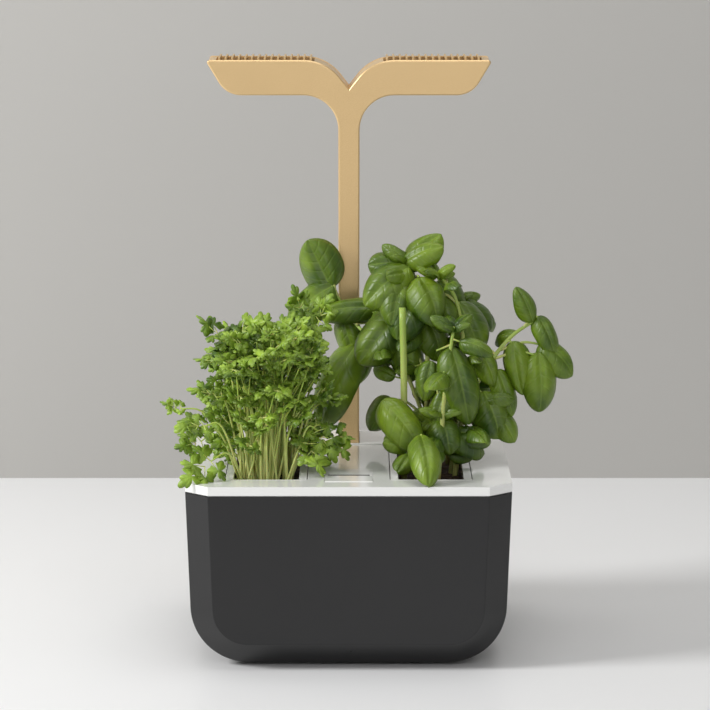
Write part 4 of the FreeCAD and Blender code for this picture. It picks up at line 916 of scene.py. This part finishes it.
# Growing blocks
def soil_block(side, look):
    """The growing block with a crumbly top, closed all round."""
    name = "growing_block_" + side
    low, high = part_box(name)
    points = []
    uvs = []
    for row in range(SOIL_ROWS):
        for column in range(SOIL_COLUMNS):
            x = low.x + (high.x - low.x) * column / (SOIL_COLUMNS - 1)
            y = low.y + (high.y - low.y) * row / (SOIL_ROWS - 1)
            coarse = noise.noise(Vector((x, y, 0)) * COARSE_SCALE) * COARSE_HEIGHT
            fine = noise.noise(Vector((x, y, 4)) * FINE_SCALE) * FINE_HEIGHT
            edge = min(column, SOIL_COLUMNS - 1 - column, row, SOIL_ROWS - 1 - row)
            rise = (coarse + fine) * MM if edge > 1 else -SOIL_EDGE_SINK
            points.append(Vector((x, y, high.z - SOIL_SINK + rise)))
            uvs.append((column / SOIL_COLUMNS, row / SOIL_ROWS))
    faces = grid_faces(SOIL_ROWS, SOIL_COLUMNS)
    rim = list(range(SOIL_COLUMNS))
    rim += [row * SOIL_COLUMNS + SOIL_COLUMNS - 1 for row in range(1, SOIL_ROWS)]
    rim += [(SOIL_ROWS - 1) * SOIL_COLUMNS + column for column in range(SOIL_COLUMNS - 2, -1, -1)]
    rim += [row * SOIL_COLUMNS for row in range(SOIL_ROWS - 2, 0, -1)]
    start = len(points)
    for index in rim:
        points.append(Vector((points[index].x, points[index].y, low.z)))
        uvs.append(uvs[index])
    for k, index in enumerate(rim):
        following = (k + 1) % len(rim)
        faces.append((rim[following], index, start + k, start + following))
    faces.append(tuple(range(start, start + len(rim)))[::-1])
    builder = Builder()
    builder.add(points, faces, uvs)
    piece = builder.piece("soil_" + side, look, "pod_" + side, "soil_brown")
    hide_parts(name)


# CAD nodes
def paint(name, look):
    NODES[name].data.materials.clear()
    NODES[name].data.materials.append(look)


def dress_nodes():
    """Softened copies of what shows, and a material on the nodes that stay as they are."""
    tank = tank_material()
    white = moulded_plastic("tray_white", (0.84, 0.84, 0.82), 0.16, 0.03, coat=0.6)
    gold = gold_material("lamp_gold", 0.33)
    fins = gold_material("fin_gold", 0.4, 0.9)
    rubber = moulded_plastic("foot_rubber", (0.02, 0.02, 0.02), 0.75, 0.3)
    black = moulded_plastic("inner_black", (0.03, 0.03, 0.03), 0.45, 0.1)
    grey = moulded_plastic("button_grey", (0.42, 0.42, 0.42), 0.4, 0.1)
    board = moulded_plastic("board_white", (0.75, 0.76, 0.76), 0.4, 0.05)
    chips = moulded_plastic("led_yellow", (0.85, 0.68, 0.16), 0.3, 0.05)
    cable = moulded_plastic("cable_white", (0.75, 0.75, 0.74), 0.4, 0.1)
    steel = brushed_metal("steel", (0.6, 0.6, 0.6), 0.25)
    brass = brushed_metal("contact_brass", (0.8, 0.6, 0.28), 0.25)
    circuit = circuit_material()
    lens = diffuser_material()
    felt = felt_material()
    finished("tank_shell", tank, 0.6, 3)
    finished("growing_tray", white, 0.35)
    finished("lamp_socket", white)
    finished("fill_flap", white)
    finished("lamp_front_cover", gold)
    finished("lamp_rear_cover", gold, 0.2)
    finished("lamp_channel", gold, 0.15)
    finished("power_button", grey, 0)
    for side in ("left", "right"):
        finished("pod_frame_" + side, white, 0.35, 3)
        finished("pod_cup_" + side, white)
        finished("heat_sink_" + side, fins, 0.15, 1)
        finished("diffuser_" + side, lens, 0.2)
        paint("led_board_" + side, board)
        paint("led_chips_" + side, chips)
        paint("lamp_ribbon_" + side, cable)
        paint("wick_" + side, felt)
    for name in NODES:
        if name.startswith("foot_"):
            finished(name, rubber, 0.2)
    for name in ("fill_flap_pin", "lid_screws", "lamp_screws"):
        paint(name, steel)
    for name in ("socket_connector", "power_inlet", "button_switch", "lamp_plug"):
        paint(name, black)
    paint("lamp_contacts", brass)
    paint("socket_lid", white)
    paint("control_board", circuit)


def painted_scoop_shade():
    """A dark strip of painted shade on the foot of the finger scoop, where it shows as a slit at the fill
    flap's back edge.
    """
    low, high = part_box("fill_flap")
    left = low.x / MM + SHADE_STRIP_SIDE_GAP
    right = high.x / MM - SHADE_STRIP_SIDE_GAP
    near = high.y / MM + FINGER_GAP + SHADE_STRIP_LIFT
    far = near + SHADE_STRIP_LENGTH
    foot = PLATE_TOP - SCOOP_DEPTH + SHADE_STRIP_LIFT
    top = foot + SCOOP_DEPTH * SHADE_STRIP_LENGTH / SCOOP_LENGTH
    corners = [(left, near, foot), (right, near, foot), (right, far, top), (left, far, top)]
    points = [metres(*corner) for corner in corners]
    points += [metres(x, y, z + SHADE_STRIP_LIFT) for x, y, z in corners]
    faces = [(4, 5, 6, 7), (3, 2, 1, 0), (0, 1, 5, 4), (1, 2, 6, 5), (2, 3, 7, 6), (3, 0, 4, 7)]
    mesh = bpy.data.meshes.new("painted_scoop_shade")
    mesh.from_pydata(points, [], faces)
    # Near-black colour of the strip: painted shade at the scoop's foot, not a dark part of the tray
    mesh.materials.append(moulded_plastic("painted_shade_dark", (0.03, 0.03, 0.03), 0.8, 0.0))
    shade_strip = bpy.data.objects.new("painted_scoop_shade", mesh)
    bpy.context.scene.collection.objects.link(shade_strip)
    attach(shade_strip, "tray")


# Stage, light and camera
def stage_plane(name, look, corners, colour, roughness):
    mesh = bpy.data.meshes.new(name)
    mesh.from_pydata(corners, [], [(0, 1, 2, 3)])
    material, _, shader = new_material(look)
    shader.inputs["Base Color"].default_value = (*colour, 1)
    shader.inputs["Roughness"].default_value = roughness
    mesh.materials.append(material)
    plane = bpy.data.objects.new(name, mesh)
    bpy.context.scene.collection.objects.link(plane)


def plain_stage():
    left, right = -STAGE_HALF_WIDTH, STAGE_HALF_WIDTH
    floor_corners = [
        (left, TABLE_NEAR, 0), (right, TABLE_NEAR, 0), (right, TABLE_BACK, 0), (left, TABLE_BACK, 0),
    ]
    wall_corners = [
        (left, TABLE_BACK, WALL_FOOT), (right, TABLE_BACK, WALL_FOOT),
        (right, TABLE_BACK, WALL_TOP), (left, TABLE_BACK, WALL_TOP),
    ]
    stage_plane("table", "table_white", floor_corners, TABLE_COLOUR, roughness=0.4)
    stage_plane("wall", "wall_grey", wall_corners, WALL_COLOUR, roughness=0.9)


def area_light(name, place, target, size, power):
    lamp = bpy.data.lights.new(name, "AREA")
    lamp.shape = "SQUARE"
    lamp.size = size
    lamp.energy = power
    holder = bpy.data.objects.new(name, lamp)
    holder.location = place
    aim = Vector(target) - Vector(place)
    holder.rotation_euler = aim.to_track_quat("-Z", "Y").to_euler()
    bpy.context.scene.collection.objects.link(holder)


def light_and_camera():
    for light in LIGHTS:
        area_light(*light)
    world = bpy.data.worlds.new("studio")
    world.use_nodes = True
    background = world.node_tree.nodes["Background"]
    background.inputs["Color"].default_value = (1, 1, 1, 1)
    background.inputs["Strength"].default_value = WORLD_STRENGTH
    bpy.context.scene.world = world
    bpy.context.scene.view_settings.view_transform = "Standard"
    camera_data = bpy.data.cameras.new("camera")
    camera_data.sensor_width = SENSOR_WIDTH
    camera_data.lens = FOCAL_PIXELS * SENSOR_WIDTH / FRAME_PIXELS
    camera_data.clip_end = CAMERA_REACH
    camera = bpy.data.objects.new("camera", camera_data)
    camera.location = metres(*CAMERA_PLACE)
    camera.rotation_euler = (math.radians(90 - CAMERA_DOWN), 0, 0)
    bpy.context.scene.collection.objects.link(camera)
    bpy.context.scene.camera = camera


dress_nodes()
soil_look = soil_material()
for pod_side in ("left", "right"):
    soil_block(pod_side, soil_look)
# Dark strip of painted shade at the foot of the finger scoop
painted_scoop_shade()
basil(random.Random(BASIL_SEED))
parsley(random.Random(PARSLEY_SEED))
plain_stage()
light_and_camera()
